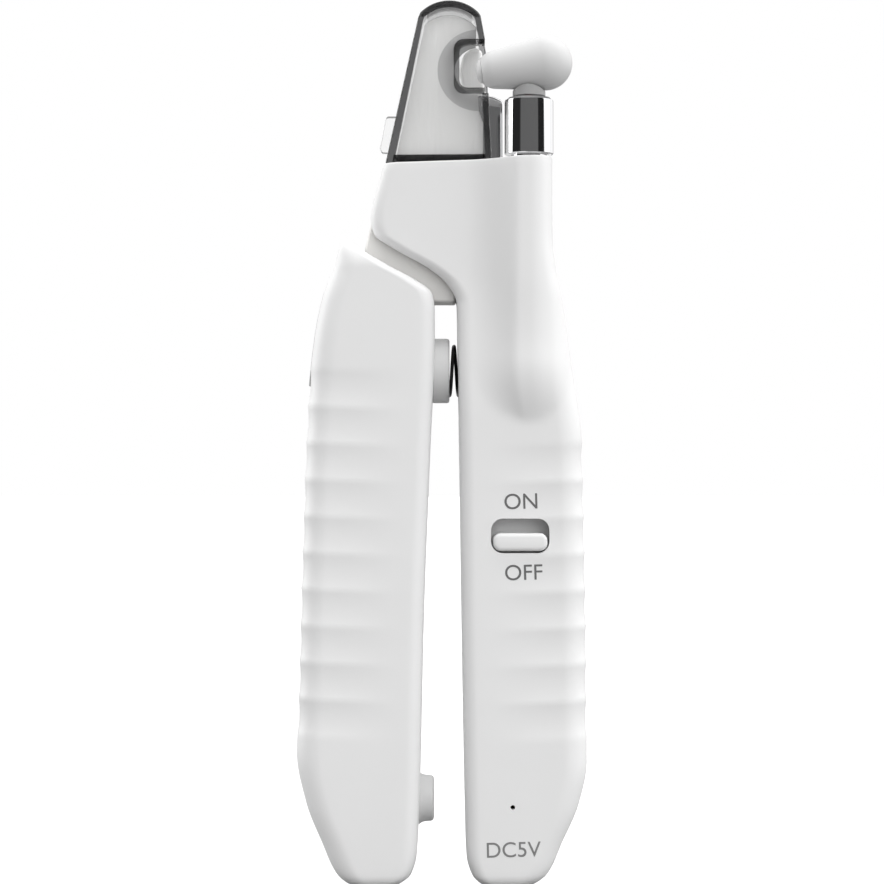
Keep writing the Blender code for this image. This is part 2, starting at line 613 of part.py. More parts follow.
def egg_place():
    back = Vector((EGG_BACK[0], LAMP_Y, EGG_BACK[1]))
    nose = Vector((EGG_NOSE[0], LAMP_Y, EGG_NOSE[1]))
    turn = (nose - back).to_track_quat("Z", "Y").to_matrix().to_4x4()
    return Matrix.Translation(back) @ turn


def make_lamp():
    low = HEAD_TOP + GAP
    neck = [(2.4, 119.0), (3.0, 119.0), (3.0, low), (3.9, low), (TUBE_R, low + 0.2), (TUBE_R, NECK_TOP - 0.5),
            (3.6, NECK_TOP), (2.4, NECK_TOP)]
    place = along("Z", LAMP_X, LAMP_Y, 0)
    add_object("lamp_neck", turned(neck, 32, place), "chrome")
    collar = add_object("neck_collar", tube(1.9, 2.75, NECK_TOP + GAP, 136.5, 28, place), "grey_plastic")
    egg = egg_place()
    cut(collar, add_object("egg_room", turned(egg_profile(GAP, 60) + [(0, 10.5)], 28, egg)))
    outer = egg_profile(0.0, EGG_MOUTH)
    inner = egg_profile(-EGG_WALL, EGG_MOUTH)
    add_object("lamp_shell", turned(outer + inner[::-1], 28, egg), "white_plastic")
    mouth = outer[-1][1]
    dome = [(0, mouth - 0.6), (1.2, mouth - 0.6)]
    for a in np.radians((0, 25, 50, 70)):
        dome.append((LENS_R * math.cos(a), mouth + 0.1 + LENS_RISE * math.sin(a)))
    dome.append((0, mouth + 0.1 + LENS_RISE))
    add_object("lamp_lens", turned(dome, 28, egg), "clear")
    cup = [(1.1, 5.2), (1.4, 5.2), (1.6, 9.1), (1.3, 9.1)]
    add_object("lamp_reflector", turned(cup, 24, egg), "chrome")
    chip = [(0, 3.6), (1.6, 3.6), (1.6, 4.4), (0.7, 4.4), (0.7, 4.9), (0, 4.9)]
    add_object("lamp_led", turned(chip, 16, egg), "led_yellow")


def make_cap():
    """Smoky cap with open base, nail notch through front and right walls, and clear grip tab."""
    base = HEAD_TOP + GAP
    outline = [(-9.1, head_top(-9.1) + GAP), (8.5, head_top(8.5) + GAP), (7.6, 142.0), (6.6, 147.4)]
    outline += arc(1.3, 143.0, 7.0, 45, 135, 10) + [(-4.4, 147.0)]
    outer = add_object("clippings_cap", prism(outline, -2.6, 8.3), "smoky_clear")
    inner = [(-8.05, base - 2), (7.45, base - 2), (6.55, 142.0), (5.7, 146.6)]
    inner += arc(1.3, 142.6, 6.2, 48, 132, 10) + [(-3.5, 146.6)]
    tab = rounded_rect(-10.5, -7.8, 124.6, 130.6, 0.8, 3)
    cut(outer, add_object("cap_tab", prism(tab, 1.4, 4.6)), operation="UNION")
    cut(outer, add_object("cap_hollow", prism(inner, -1.6, 7.3)))
    notch = add_object("cap_notch", prism(rounded_rect(2.0, 14.0, 134.2, 143.4, 1.8), -4.0, 3.0))
    slot = add_object("blade_way", box(5.6, 12.0, 0.6, 3.05, base - 3, 135.5))
    cut(outer, notch, slot)


def main():
    for obj in list(bpy.data.objects):
        bpy.data.objects.remove(obj)
    shells = make_housings()
    cut_housings(shells)
    make_hinge()
    make_blades()
    make_spring_and_stops()
    make_lock_slider()
    make_switch()
    make_electronics()
    make_lamp()
    make_cap()


main()
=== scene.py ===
"""Looks of a lamp-lit pet nail clipper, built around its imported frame.

Lengths are drawn in millimetres in the front view (X right, Z up, -Y towards the user) and become metres.
"""

import math
from functools import cache

import bmesh
import bpy
import numpy as np
from bpy.props import FloatProperty, FloatVectorProperty, PointerProperty
from mathutils import Matrix, Vector


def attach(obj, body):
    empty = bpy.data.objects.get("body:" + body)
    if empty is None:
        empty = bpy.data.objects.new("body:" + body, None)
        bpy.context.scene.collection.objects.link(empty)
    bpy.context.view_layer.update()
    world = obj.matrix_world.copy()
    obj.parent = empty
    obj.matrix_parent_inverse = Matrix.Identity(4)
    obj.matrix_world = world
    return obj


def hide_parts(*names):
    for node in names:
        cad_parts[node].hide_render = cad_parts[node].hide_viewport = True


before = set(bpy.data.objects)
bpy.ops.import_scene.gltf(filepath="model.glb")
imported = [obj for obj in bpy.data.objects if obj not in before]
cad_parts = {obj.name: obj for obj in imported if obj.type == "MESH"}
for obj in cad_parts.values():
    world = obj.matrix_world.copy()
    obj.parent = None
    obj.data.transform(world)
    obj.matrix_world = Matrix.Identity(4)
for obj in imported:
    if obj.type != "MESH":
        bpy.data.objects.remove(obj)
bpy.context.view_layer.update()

bl_info = {
    "name": "Pet nail clipper",
    "version": (1, 0, 0),
    "blender": (4, 5, 0),
    "location": "View3D > Sidebar > Clipper",
    "description": "Builds the moulded shells, blades, cap and lamp of a pet nail clipper",
    "category": "Object",
}

MM = 0.001
CENTRE = Vector((0.0, 1.525, 0.0))
TO_METRES = Matrix.Scale(MM, 4) @ Matrix.Translation(CENTRE)

# Studio in metres: light from front and top, a dark flag at the front left, two panels, camera and floor
LIGHT_LEVEL = 1.27
LIGHT_LEAN = (0.05, -0.6, 0.95)
LIGHT_LEAST = 0.02
FLAG_SIDE = (-0.77, -0.64, 0.0)
FLAG_RANGE = (0.1, 1.0)
FLAG_SHADE = 1.45
PANEL_SIZE = 0.4
PANELS = {"left": ((-0.5, 0.17, 0.2), 1.3), "right": ((0.6, 0.03, 0.3), 0.12)}
PANEL_AIM = Vector((0, 0, 0.075))
EYE_X = 0.00004
EYE_Z = 0.07497
EYE_SENSOR = 36.0
FRONT_PLANE = 0.002
FLOOR_TONE = 0.22
FLOOR_DROP = 0.0005

# Angle round the set in degrees and brightness of the cards that polished metal mirrors
CARDS = ((-180, 1.0), (-130, 1.0), (-121, 0.02), (-47, 0.02), (-40, 0.13), (40, 0.13), (44, 0.015),
         (72, 0.015), (78, 1.1), (150, 1.1), (158, 0.1), (166, 1.0))

# Places of head, hinge, lamp, spring and bumper, with the gap between pieces that face each other
HEAD_TOP = 122.9
HEAD_RIGHT = 18.6
HEAD_TILT = 0.033
HEAD_EDGE = 0.3
GAP = 0.3
NECK_TOP = 132.7
PIVOT = (1.74, 112.4)
PIN_ROOM_R = 2.3
HINGE_LOW = 98
HINGE_HIGH = 112
LAMP_X = 14.66
LAMP_Y = -7.0
SPRING_Z = 87.1
BUMPER_Z = 14.2

# Handles: depths, blends over height, edges, lamp ridge, and grips as lowest groove, pitch and count
HANDLE_DEPTH = 8.5
HEAD_FRONT = 6.8
LEAST_DEPTH = 0.4
HEAD_BLEND = (80, 104)
ROWS_BEGIN = (8, 20)
ROWS_END = (84, 96)
EDGE_LOSS = 2.2
DROP_LOSS = 2.4
LEVER_TOP = 109.3
LEVER_CROWN_R = 5.0
OPEN_TOP = 400.0
FLANK = (4.2, 11.5)
FLANK_SHARE = 0.83
RIDGE_FLAT = (13.0, 14.8)
RIDGE_END = 78.6
RIDGE_NOSE = 11.0
RIDGE_PROUD = 3.0
RIDGE_GROWTH = 1.3
BODY_GRIP = (25.4, 6.17, 8)
LEVER_GRIP = (25.8, 6.14, 10)

# Sides of the handles as (height, x) stations
BODY_INNER = [(0, 7.4), (0.5, 6.7), (2.2, 5.1), (5.6, 4.15), (9, 4.05), (96, 2.6), (98.3, 2.55),
              (101.7, 0.9), (104.2, -2.0), (108.1, -8.8), (109.9, -11.3), (112.3, -12.0), (HEAD_TOP, -9.85)]
BODY_OUTER = [(0, 15.0), (0.5, 15.9), (2.2, 17.9), (7.3, 20.3), (14.1, 23.2), (20.9, 24.5), (25.4, 24.5),
              (74.8, 23.7), (87.2, 22.0), (99.1, 20.3), (104.2, 19.2), (110, 18.65), (HEAD_TOP, HEAD_RIGHT)]
LEVER_INNER = [(0, -7.8), (0.5, -7.2), (2.2, -5.2), (5.6, -4.2), (9, -4.0), (48.1, -3.0), (73.6, -2.0),
               (94, -1.2), (97.4, -1.2), (100, -1.66), (102.3, -4.5), (104.6, -8.8), (108.3, -14.75),
               (LEVER_TOP, -15.9)]
LEVER_OUTER = [(0, -15.1), (0.5, -16.0), (2.2, -17.8), (7.3, -20.2), (14.1, -22.9), (22.6, -24.5),
               (25.8, -24.4), (81.3, -22.6), (92.3, -21.5), (99.1, -20.2), (105, -18.1), (107.6, -17.3),
               (LEVER_TOP, -16.5)]


def measure(name, description, default, unit="NONE"):
    return FloatProperty(name=name, description=description, default=default, unit=unit)


def tint(name, description, default):
    return FloatVectorProperty(name=name, description=description, default=default, subtype="COLOR", size=3)


class HousingSizes(bpy.types.PropertyGroup):
    """Sizes of the moulded handles, in millimetres."""

    scallop_depth: measure("Scallop depth", "Depth of the grip grooves", 0.22)
    row_slope: measure("Row slope", "Fall of the grip rows", 0.035)
    inner_edge: measure("Inner edge", "Radius of the facing edges", 2.4)
    outer_edge: measure("Outer edge", "Width of the soft outer edges", 4.2)
    outer_drop: measure("Outer drop", "Depth of the soft outer edges", 4.0)
    end_fillet: measure("End fillet", "Radius at the handle ends", 2.2)
    seam: measure("Seam", "Half gap between the shell halves", 0.12)
    wall: measure("Wall", "Wall of the shells", 2.2)


class FinishColours(bpy.types.PropertyGroup):
    """Colours of the finishes."""

    white: tint("White", "Moulded white plastic", (0.83, 0.83, 0.83))
    beige: tint("Neck", "Lever neck plastic", (0.83, 0.82, 0.8))
    grey: tint("Grey", "Grey plastic", (0.66, 0.66, 0.66))
    ink: tint("Ink", "Printed marks", (0.15, 0.15, 0.15))
    pale_ink: tint("Pale ink", "Pale printed marks", (0.22, 0.22, 0.22))


class StageSizes(bpy.types.PropertyGroup):
    """Place and view of the camera."""

    distance: measure("Distance", "From lens to object", 0.42, "LENGTH")
    span: measure("View span", "Height of the view", 0.15028, "LENGTH")


def smooth_curve(stations):
    """Monotone cubic through (height, x) stations."""
    t = np.array([s[0] for s in stations], float)
    v = np.array([s[1] for s in stations], float)
    h = np.diff(t)
    d = np.diff(v) / h
    slope = np.zeros(len(t))
    slope[0] = d[0]
    slope[-1] = d[-1]
    for i in range(1, len(d)):
        if d[i - 1] * d[i] > 0:
            w1 = 2 * h[i] + h[i - 1]
            w2 = h[i] + 2 * h[i - 1]
            slope[i] = (w1 + w2) / (w1 / d[i - 1] + w2 / d[i])

    def value(z):
        i = int(np.clip(np.searchsorted(t, z) - 1, 0, len(h) - 1))
        u = min(max((z - t[i]) / h[i], 0.0), 1.0)
        a = (1 + 2 * u) * (1 - u) ** 2 * v[i] + u * u * (3 - 2 * u) * v[i + 1]
        b = u * (1 - u) ** 2 * slope[i] * h[i] + u * u * (u - 1) * slope[i + 1] * h[i]
        return a + b

    return value


lever_outer = smooth_curve(LEVER_OUTER)
HANDLES = {"body": (smooth_curve(BODY_INNER), smooth_curve(BODY_OUTER), BODY_GRIP, OPEN_TOP),
           "lever": (smooth_curve(LEVER_INNER), lever_outer, LEVER_GRIP, LEVER_TOP)}


def ramp(z, low, high):
    """Smooth rise from 0 to 1 between two heights."""
    u = min(max((z - low) / (high - low), 0.0), 1.0)
    return u * u * (3 - 2 * u)


def scallop(z, grip):
    """Share of the groove's full depth at a height."""
    low, pitch, count = grip
    u = (z - low) / pitch
    if u <= 0 or u >= count:
        return 0.0
    f = u - math.floor(u)
    return 4 * f * (1 - f)


def ridge(x, z, right):
    """Height of the lamp tube's ridge above the front, with a concave left flank and a round lower end."""
    nose = min(max((z - RIDGE_END) / RIDGE_NOSE, 0.0), 1.0)
    bulge = math.sqrt(1 - (1 - nose) ** 2)
    if bulge < 0.02:
        return 0.0
    proud = (RIDGE_PROUD + RIDGE_GROWTH * ramp(z, 89, 104)) * bulge ** 2.5
    low, high = FLANK
    flat, brink = RIDGE_FLAT
    x = brink + (x - brink) / bulge
    if not low < x < right:
        return 0.0
    if x < high:
        share = FLANK_SHARE * ((x - low) / (high - low)) ** 2
    elif x < flat:
        share = 1 - (1 - FLANK_SHARE) * ((flat - x) / (flat - high)) ** 2
    elif x < brink:
        share = 1.0
    else:
        fall = 1.5 - ramp(z, 88, 106)
        share = (1 - ((x - brink) / (right - brink)) ** 2) ** fall
    return proud * share


class Handle:
    """One handle's outside as sections over its height."""

    def __init__(self, name):
        self.sizes = bpy.context.scene.clipper_housing
        self.ridged = name == "body"
        self.side = 1 if self.ridged else -1
        self.inner, self.outer, self.grip, self.top = HANDLES[name]

    def width(self, z, inset):
        return self.side * (self.outer(z) - self.inner(z)) - 2 * inset

    def groove(self, z, inset):
        return 0.0 if inset else self.sizes.scallop_depth * scallop(z, self.grip)

    def depths(self, z):
        """Front and back depth and how far the head's form has taken over."""
        fillet = self.sizes.end_fillet if z < self.top / 2 else LEVER_CROWN_R
        near = min(z, self.top - z)
        trim = 0.0
        if near < fillet:
            trim = fillet - math.sqrt(fillet ** 2 - (fillet - near) ** 2)
        head = ramp(z, *HEAD_BLEND) if self.ridged else 0.0
        front = HANDLE_DEPTH + (HEAD_FRONT - HANDLE_DEPTH) * head
        return front - trim, HANDLE_DEPTH - trim, head

    def slope(self, z):
        """Fall of the rows per millimetre of width."""
        rows = self.sizes.row_slope * ramp(z, *ROWS_BEGIN) * (1 - ramp(z, *ROWS_END))
        return rows + HEAD_TILT * ramp(z, HINGE_HIGH, HEAD_TOP) if self.ridged else rows

    def depth(self, x, z, full, head, inset, on_front):
        """Depth of the skin at x from the inner edge."""
        width = self.width(z, inset)
        r_in = soft_min(self.sizes.inner_edge, 0.4 * width)
        edge = self.sizes.outer_edge - EDGE_LOSS * head
        rx = soft_min(edge, 0.6 * width)
        ry = rx * (self.sizes.outer_drop - DROP_LOSS * head) / edge
        u = min(max((x - (width - rx)) / rx, 0.0), 1.0)
        v = min(max((r_in - x) / r_in, 0.0), 1.0)
        d = full - inset - ry * (1 - math.sqrt(1 - u * u)) - r_in * (1 - math.sqrt(1 - v * v))
        d -= self.groove(z, inset) * ramp(x / width, 0.1, 0.75)
        if on_front and self.ridged and not inset:
            d += ridge(self.inner(z) + x, z, self.outer(z) + 0.1)
        return max(d, LEAST_DEPTH)

    def ring(self, z, n_front, n_back, inset=0.0):
        """Section at a height, as points round it."""
        width = self.width(z, inset)
        start = self.inner(z) + self.side * inset
        front, back, head = self.depths(z)
        fall = 0.0 if inset else self.slope(z)

        def point(s, full, sign):
            x = width * (1 - math.cos(math.pi * s)) / 2
            d = self.depth(x, z, full, head, inset, sign < 0)
            pull = self.groove(z, inset) * ramp(x / width, 0.8, 1.0)
            return (start + self.side * (x - pull), sign * d, z - fall * (width - x))

        points = [point(s, front, -1) for s in np.linspace(0, 1, n_front)]
        points += [point(s, back, 1) for s in np.linspace(1, 0, n_back)]
        return points if self.side > 0 else points[::-1]

    def front_depth(self, x, z):
        """Depth of the front skin under a point of the front view."""
        inside = self.side * (x - self.inner(z))
        level = z + self.slope(z) * (self.width(z, 0.0) - inside)
        front, _, head = self.depths(level)
        return self.depth(inside, level, front, head, 0.0, True)


def soft_min(a, b):
    """Smaller of two lengths, without a kink where they cross."""
    return (a ** -4 + b ** -4) ** -0.25


def ring_loop(bm, points):
    verts = [bm.verts.new(p) for p in points]
    return [bm.edges.new((a, b)) for a, b in zip(verts, verts[1:] + verts[:1])]


def lofted(rings):
    """Skin drawn by extruding a ring and moving each new ring to its section, with both ends filled."""
    bm = bmesh.new()
    edges = ring_loop(bm, rings[0])
    for before, ring in zip(rings, rings[1:]):
        place = {Vector(old).to_tuple(5): new for old, new in zip(before, ring)}
        grown = bmesh.ops.extrude_edge_only(bm, edges=edges)["geom"]
        verts = {g for g in grown if isinstance(g, bmesh.types.BMVert)}
        edges = [g for g in grown if isinstance(g, bmesh.types.BMEdge) and verts.issuperset(g.verts)]
        for vert in verts:
            vert.co = place[vert.co.to_tuple(5)]
    bmesh.ops.holes_fill(bm, edges=bm.edges, sides=0)
    bmesh.ops.recalc_face_normals(bm, faces=bm.faces)
    return bm


def prism(outline, y0, y1):
    """Outline in the front view carried from y0 to y1."""
    bm = bmesh.new()
    face = bm.faces.new([bm.verts.new((x, y0, z)) for x, z in outline])
    grown = bmesh.ops.extrude_face_region(bm, geom=[face])
    far = [g for g in grown["geom"] if isinstance(g, bmesh.types.BMVert)]
    bmesh.ops.translate(bm, verts=far, vec=(0, y1 - y0, 0))
    bmesh.ops.recalc_face_normals(bm, faces=bm.faces)
    return bm


def moved(bm, matrix):
    """Moves a bmesh and turns its faces outwards."""
    bmesh.ops.transform(bm, matrix=matrix, verts=bm.verts)
    bmesh.ops.recalc_face_normals(bm, faces=bm.faces)
    return bm


def box(x0, x1, y0, y1, z0, z1):
    return prism([(x0, z0), (x1, z0), (x1, z1), (x0, z1)], y0, y1)


def arc(cx, cz, r, start, end, steps):
    angles = np.radians(np.linspace(start, end, steps + 1))
    return [(cx + r * math.cos(a), cz + r * math.sin(a)) for a in angles]


def rounded_rect(x0, x1, z0, z1, r, steps=8):
    corners = ((x1 - r, z1 - r), (x0 + r, z1 - r), (x0 + r, z0 + r), (x1 - r, z0 + r))
    return [p for k, (x, z) in enumerate(corners) for p in arc(x, z, r, 90 * k, 90 * k + 90, steps)]


def along(axis, x, y, z):
    """Places a piece turned about Z so that its axis lies along X, Y or Z through a point."""
    turn = {"X": Matrix.Rotation(math.pi / 2, 4, "Y"), "Y": Matrix.Rotation(-math.pi / 2, 4, "X")}
    return Matrix.Translation((x, y, z)) @ turn.get(axis, Matrix())


def turned(profile, steps, place):
    """Profile of (radius, height) points revolved about Z and then placed."""
    bm = bmesh.new()
    edges = ring_loop(bm, [(r, 0, h) for r, h in profile])
    bmesh.ops.spin(bm, geom=bm.verts[:] + edges, cent=(0, 0, 0), axis=(0, 0, 1), angle=2 * math.pi,
                   steps=steps, use_merge=True)
    bmesh.ops.remove_doubles(bm, verts=bm.verts, dist=1e-4)
    bmesh.ops.delete(bm, geom=[e for e in bm.edges if not e.link_faces], context="EDGES")
    return moved(bm, place)


def rod(r, h0, h1, steps, place):
    return turned([(0, h0), (r, h0), (r, h1), (0, h1)], steps, place)


def soften(bm, width, segments=3, angle=30):
    """Rounds every edge sharper than an angle."""
    limit = math.radians(angle)
    edges = [e for e in bm.edges if len(e.link_faces) == 2 and e.calc_face_angle(0) > limit]
    bmesh.ops.bevel(bm, geom=edges, offset=width, offset_type="OFFSET", segments=segments, profile=0.5,
                    affect="EDGES", clamp_overlap=True, material=-1)
    return bm


def mesh_object(name, bm):
    mesh = bpy.data.meshes.new(name)
    bm.to_mesh(mesh)
    bm.free()
    obj = bpy.data.objects.new(name, mesh)
    bpy.context.scene.collection.objects.link(obj)
    return obj


def carve(obj, cutters):
    """Takes bmeshes away from an object in turn, or joins or keeps those given as (operation, bmesh)."""
    tools = []
    for number, cutter in enumerate(cutters):
        operation, bm = cutter if isinstance(cutter, tuple) else ("DIFFERENCE", cutter)
        tool = mesh_object(f"{obj.name}_cutter_{number}", bm)
        tools.append(tool)
        modifier = obj.modifiers.new(tool.name, "BOOLEAN")
        modifier.operation = operation
        modifier.solver = "MANIFOLD"
        modifier.object = tool
    graph = bpy.context.evaluated_depsgraph_get()
    result = bpy.data.meshes.new_from_object(obj.evaluated_get(graph))
    if not result.polygons:
        raise RuntimeError(f"{obj.name} lost its shape in a cut")
    obj.modifiers.clear()
    obj.data = result
    for tool in tools:
        bpy.data.objects.remove(tool)


def piece(name, bm, finish, body, nodes, sharp=25, cutters=()):
    """Finished object, cut out, in metres, with its finish, its body and the nodes that it stands for."""
    obj = mesh_object(name, bm)
    if cutters:
        carve(obj, cutters)
    obj.data.transform(TO_METRES)
    obj.data.materials.clear()
    obj.data.materials.append(finishes()[finish])
    obj.data.shade_smooth()
    obj.data.set_sharp_from_angle(angle=math.radians(sharp))
    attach(obj, body)
    if nodes:
        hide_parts(*nodes)
    return obj


def feed(tree, node, inputs):
    """Links a node's inputs to sockets, or sets them to plain values."""
    for name, value in inputs.items():
        if isinstance(value, bpy.types.NodeSocket):
            tree.links.new(value, node.inputs[name])
        else:
            node.inputs[name].default_value = value
    return node


def add_node(tree, kind, inputs, **settings):
    node = tree.nodes.new(kind)
    for name, value in settings.items():
        setattr(node, name, value)
    return feed(tree, node, inputs)


def math_step(tree, operation, *values):
    return add_node(tree, "ShaderNodeMath", dict(enumerate(values)), operation=operation).outputs[0]


def group_nodes(name, inputs):
    """Empty shader node group that gives a height and a tone."""
    group = bpy.data.node_groups.new(name, "ShaderNodeTree")
    for label, kind in inputs.items():
        group.interface.new_socket(label, in_out="INPUT", socket_type=kind)
    for label in ("Height", "Tone"):
        group.interface.new_socket(label, in_out="OUTPUT", socket_type="NodeSocketFloat")
    return group, group.nodes.new("NodeGroupInput"), group.nodes.new("NodeGroupOutput")


def moulded_grain():
    """Fine spark-eroded grain of moulded plastic, and a slow tone that drifts over the piece."""
    sockets = {"Vector": "NodeSocketVector", "Grain Scale": "NodeSocketFloat"}
    group, start, end = group_nodes("moulded_grain", sockets)
    place = start.outputs["Vector"]
    scale = start.outputs["Grain Scale"]
    fine = add_node(group, "ShaderNodeTexNoise", {"Vector": place, "Scale": scale, "Detail": 3.0})
    slow = add_node(group, "ShaderNodeTexNoise", {"Vector": place, "Scale": 60.0})
    drift = math_step(group, "SUBTRACT", slow.outputs["Fac"], 0.5)
    drift = math_step(group, "MULTIPLY", drift, TONE_AMOUNT)
    feed(group, end, {"Height": fine.outputs["Fac"], "Tone": math_step(group, "ADD", drift, 1.0)})
    return group


def brushed_lines():
    """Fine parallel grinding lines."""
    group, start, end = group_nodes("brushed_lines", {"Vector": "NodeSocketVector"})
    place = start.outputs["Vector"]
    stretch = add_node(group, "ShaderNodeMapping", {"Vector": place, "Scale": LINE_STRETCH}).outputs["Vector"]
    lines = add_node(group, "ShaderNodeTexNoise", {"Vector": stretch, "Scale": 1.0, "Detail": 2.0})
    height = lines.outputs["Fac"]
    tone = add_node(group, "ShaderNodeMapRange", {"Value": height, "To Min": 0.9, "To Max": 1.05})
    feed(group, end, {"Height": height, "Tone": tone.outputs["Result"]})
    return group


def new_material(name):
    made = bpy.data.materials.new(name)
    made.use_nodes = True
    return made, made.node_tree, made.node_tree.nodes["Principled BSDF"]


def textured(name, colour, roughness, metallic, group, grain_scale, strength, distance):
    """Principled finish whose grain and tone come from a shared group."""
    made, tree, shader = new_material(name)
    place = tree.nodes.new("ShaderNodeTexCoord").outputs["Object"]
    grain = add_node(tree, "ShaderNodeGroup", {"Vector": place}, node_tree=group)
    if grain_scale:
        feed(tree, grain, {"Grain Scale": grain_scale})
    tone = add_node(tree, "ShaderNodeMix", {"Factor": 1.0, "A": (*colour, 1), "B": grain.outputs["Tone"]},
                    data_type="RGBA", blend_type="MULTIPLY")
    relief = {"Strength": strength, "Distance": distance, "Height": grain.outputs["Height"]}
    bump = add_node(tree, "ShaderNodeBump", relief)
    feed(tree, shader, {"Base Color": tone.outputs["Result"], "Normal": bump.outputs["Normal"],
                        "Roughness": roughness, "Metallic": metallic})
    return made


def clear_plastic(name, density):
    """See-through plastic whose edges darken with the length of the way through it."""
    made, tree, shader = new_material(name)
    feed(tree, shader, {"Base Color": WHITE, "Roughness": 0.03, "IOR": 1.49, "Transmission Weight": 1.0})
    body = add_node(tree, "ShaderNodeVolumeAbsorption", {"Color": (0.1, 0.1, 0.105, 1), "Density": density})
    feed(tree, tree.nodes["Material Output"], {"Volume": body.outputs["Volume"]})
    return made


def thin_sheet(name):
    """Thin clear panel that lets light straight through."""
    made, tree, shader = new_material(name)
    feed(tree, shader, {"Base Color": (0.7, 0.7, 0.7, 1), "Roughness": 0.05, "Alpha": 0.1})
    return made


# Finishes: bump distances in metres, drift of the tone, and stretch of the grinding lines
PLASTIC_BUMP = 0.00002
METAL_BUMP = 0.00001
TONE_AMOUNT = 0.03
LINE_STRETCH = (9000.0, 9000.0, 260.0)
WHITE = (1, 1, 1, 1)


@cache
def finishes():
    """All finishes, made once. Rows give material, colour, roughness, metal, grain scale and bump."""
    made = {}
    colours = bpy.context.scene.clipper_colours
    grain = moulded_grain()
    lines = brushed_lines()
    rows = {
        "white": ("white_plastic", colours.white, 0.42, 0.0, 3500.0, 0.06),
        "lamp_white": ("lamp_plastic", (0.66, 0.66, 0.66), 0.38, 0.0, 5000.0, 0.03),
        "neck": ("neck_plastic", colours.beige, 0.5, 0.0, 3500.0, 0.08),
        "grey": ("grey_plastic", colours.grey, 0.5, 0.0, 3000.0, 0.1),
        "collar": ("collar_plastic", (0.4, 0.4, 0.4), 0.4, 0.0, 3000.0, 0.08),
        "screw": ("zinc_screw", (0.6, 0.6, 0.6), 0.35, 1.0, 2500.0, 0.1),
        "wire": ("black_spring_wire", (0.03, 0.03, 0.03), 0.35, 0.6, 2500.0, 0.1),
        "black": ("black_plastic", (0.03, 0.03, 0.03), 0.5, 0.0, 2500.0, 0.1),
        "board": ("solder_resist", (0.03, 0.2, 0.09), 0.45, 0.0, 1500.0, 0.1),
        "foil": ("battery_foil", (0.6, 0.62, 0.65), 0.35, 0.7, 800.0, 0.3),
        "lead": ("lead_insulation", (0.55, 0.04, 0.04), 0.45, 0.0, 1500.0, 0.1),
        "led": ("led_phosphor", (0.9, 0.78, 0.3), 0.5, 0.0, 3000.0, 0.1),
        "ink": ("printed_ink", colours.ink, 0.55, 0.0, 5000.0, 0.05),
        "pale_ink": ("pale_ink", colours.pale_ink, 0.55, 0.0, 5000.0, 0.05),
    }
    for key, (name, colour, roughness, metal, scale, bump) in rows.items():
        made[key] = textured(name, colour, roughness, metal, grain, scale, bump, PLASTIC_BUMP)
    metals = {
        "steel": ("ground_steel", (0.95, 0.95, 0.94), 0.42, 0.15, lines, None, 0.08),
        "bevel": ("honed_bevel", (0.62, 0.62, 0.62), 0.35, 0.2, lines, None, 0.06),
        "chrome": ("polished_chrome", (0.86, 0.86, 0.87), 0.05, 1.0, grain, 400.0, 0.01),
    }
    for key, row in metals.items():
        made[key] = textured(*row, METAL_BUMP)
    made["panel"] = thin_sheet("clear_panel")
    for key, density in {"smoky": 220.0, "smoky_edge": 3200.0, "smoky_lip": 900.0, "clear": 8.0}.items():
        made[key] = clear_plastic(f"{key}_plastic", density)
    return made


# Sections: heights of foot, crown and cavities, steps per groove, and points on front and back of a ring
FOOT_HEIGHTS = [0, 0.06, 0.18, 0.36, 0.62, 0.95, 1.35, 1.8, 2.3]
GROOVE_STEPS = 10
CROWN_LOW = 107.6
CROWN_STEP = 0.15
BODY_POINTS = (64, 40)
LEVER_POINTS = (56, 40)
CAVITY_POINTS = (10, 10)
BODY_CAVITY = (4.2, 8, 14, 22, 45, 70, 77)
LEVER_CAVITY = (24, 40, 60, 80, 96)

# Front-view outlines of the hinge and of the lever's neck, with their depths
HINGE_SLOT = [(-16, 97), (4.6, 97), (6.8, 99.8), (10, 107), (10.8, 113.5), (13.4, 120.3), (-6.8, 120.3),
              (-11, 116.2), (-16, 116.2)]
HINGE_DEPTH = (-1.4, 6.3)
NECK_SLOT = [(-16.4, 96.7), (4.4, 96.7), (3.6, 103.2), (0.6, 106), (-3.8, 109.4), (-7.6, 113.8), (-11, 115.7),
             (-16.4, 115.7)]
NECK_DEPTH = (-3.4, 6.25)
ARM_STRIP = [(-15.0, 72), (-6.5, 72), (-5.5, 94), (-3.2, 97.2), (-1.5, 98.6), (2.4, 98.6), (2.6, 102.6),
             (5.6, 103.4), (8.3, 108.4), (8.4, 114), (5.6, 118.2), (-1.0, 119.3), (-6.0, 117.8),
             (-11.5, 113), (-12.9, 108.1), (-15.0, 103)]
ARM_DEPTH = (2.9, 5.9)
NECK_PAD = [(-13.4, 104.5), (-4.5, 97.9), (-1.5, 98.75), (2.25, 98.75), (2.4, 102.6), (0.0, 104.6),
            (-4.8, 107.6), (-8.4, 111.0), (-11.9, 112.5), (-13.0, 107.9)]
PAD_DEPTH = (-3.0, 5.4)
ARM_WAY = [(-15.5, 71.6), (-6.1, 71.6), (-5.1, 93.9), (-2.9, 96.9), (-1.3, 98.2), (3.5, 98.2), (3.5, 125),
           (-12.0, 125), (-13.4, 108.1), (-15.5, 103.2)]
WAY_DEPTH = (-3.4, 6.3)

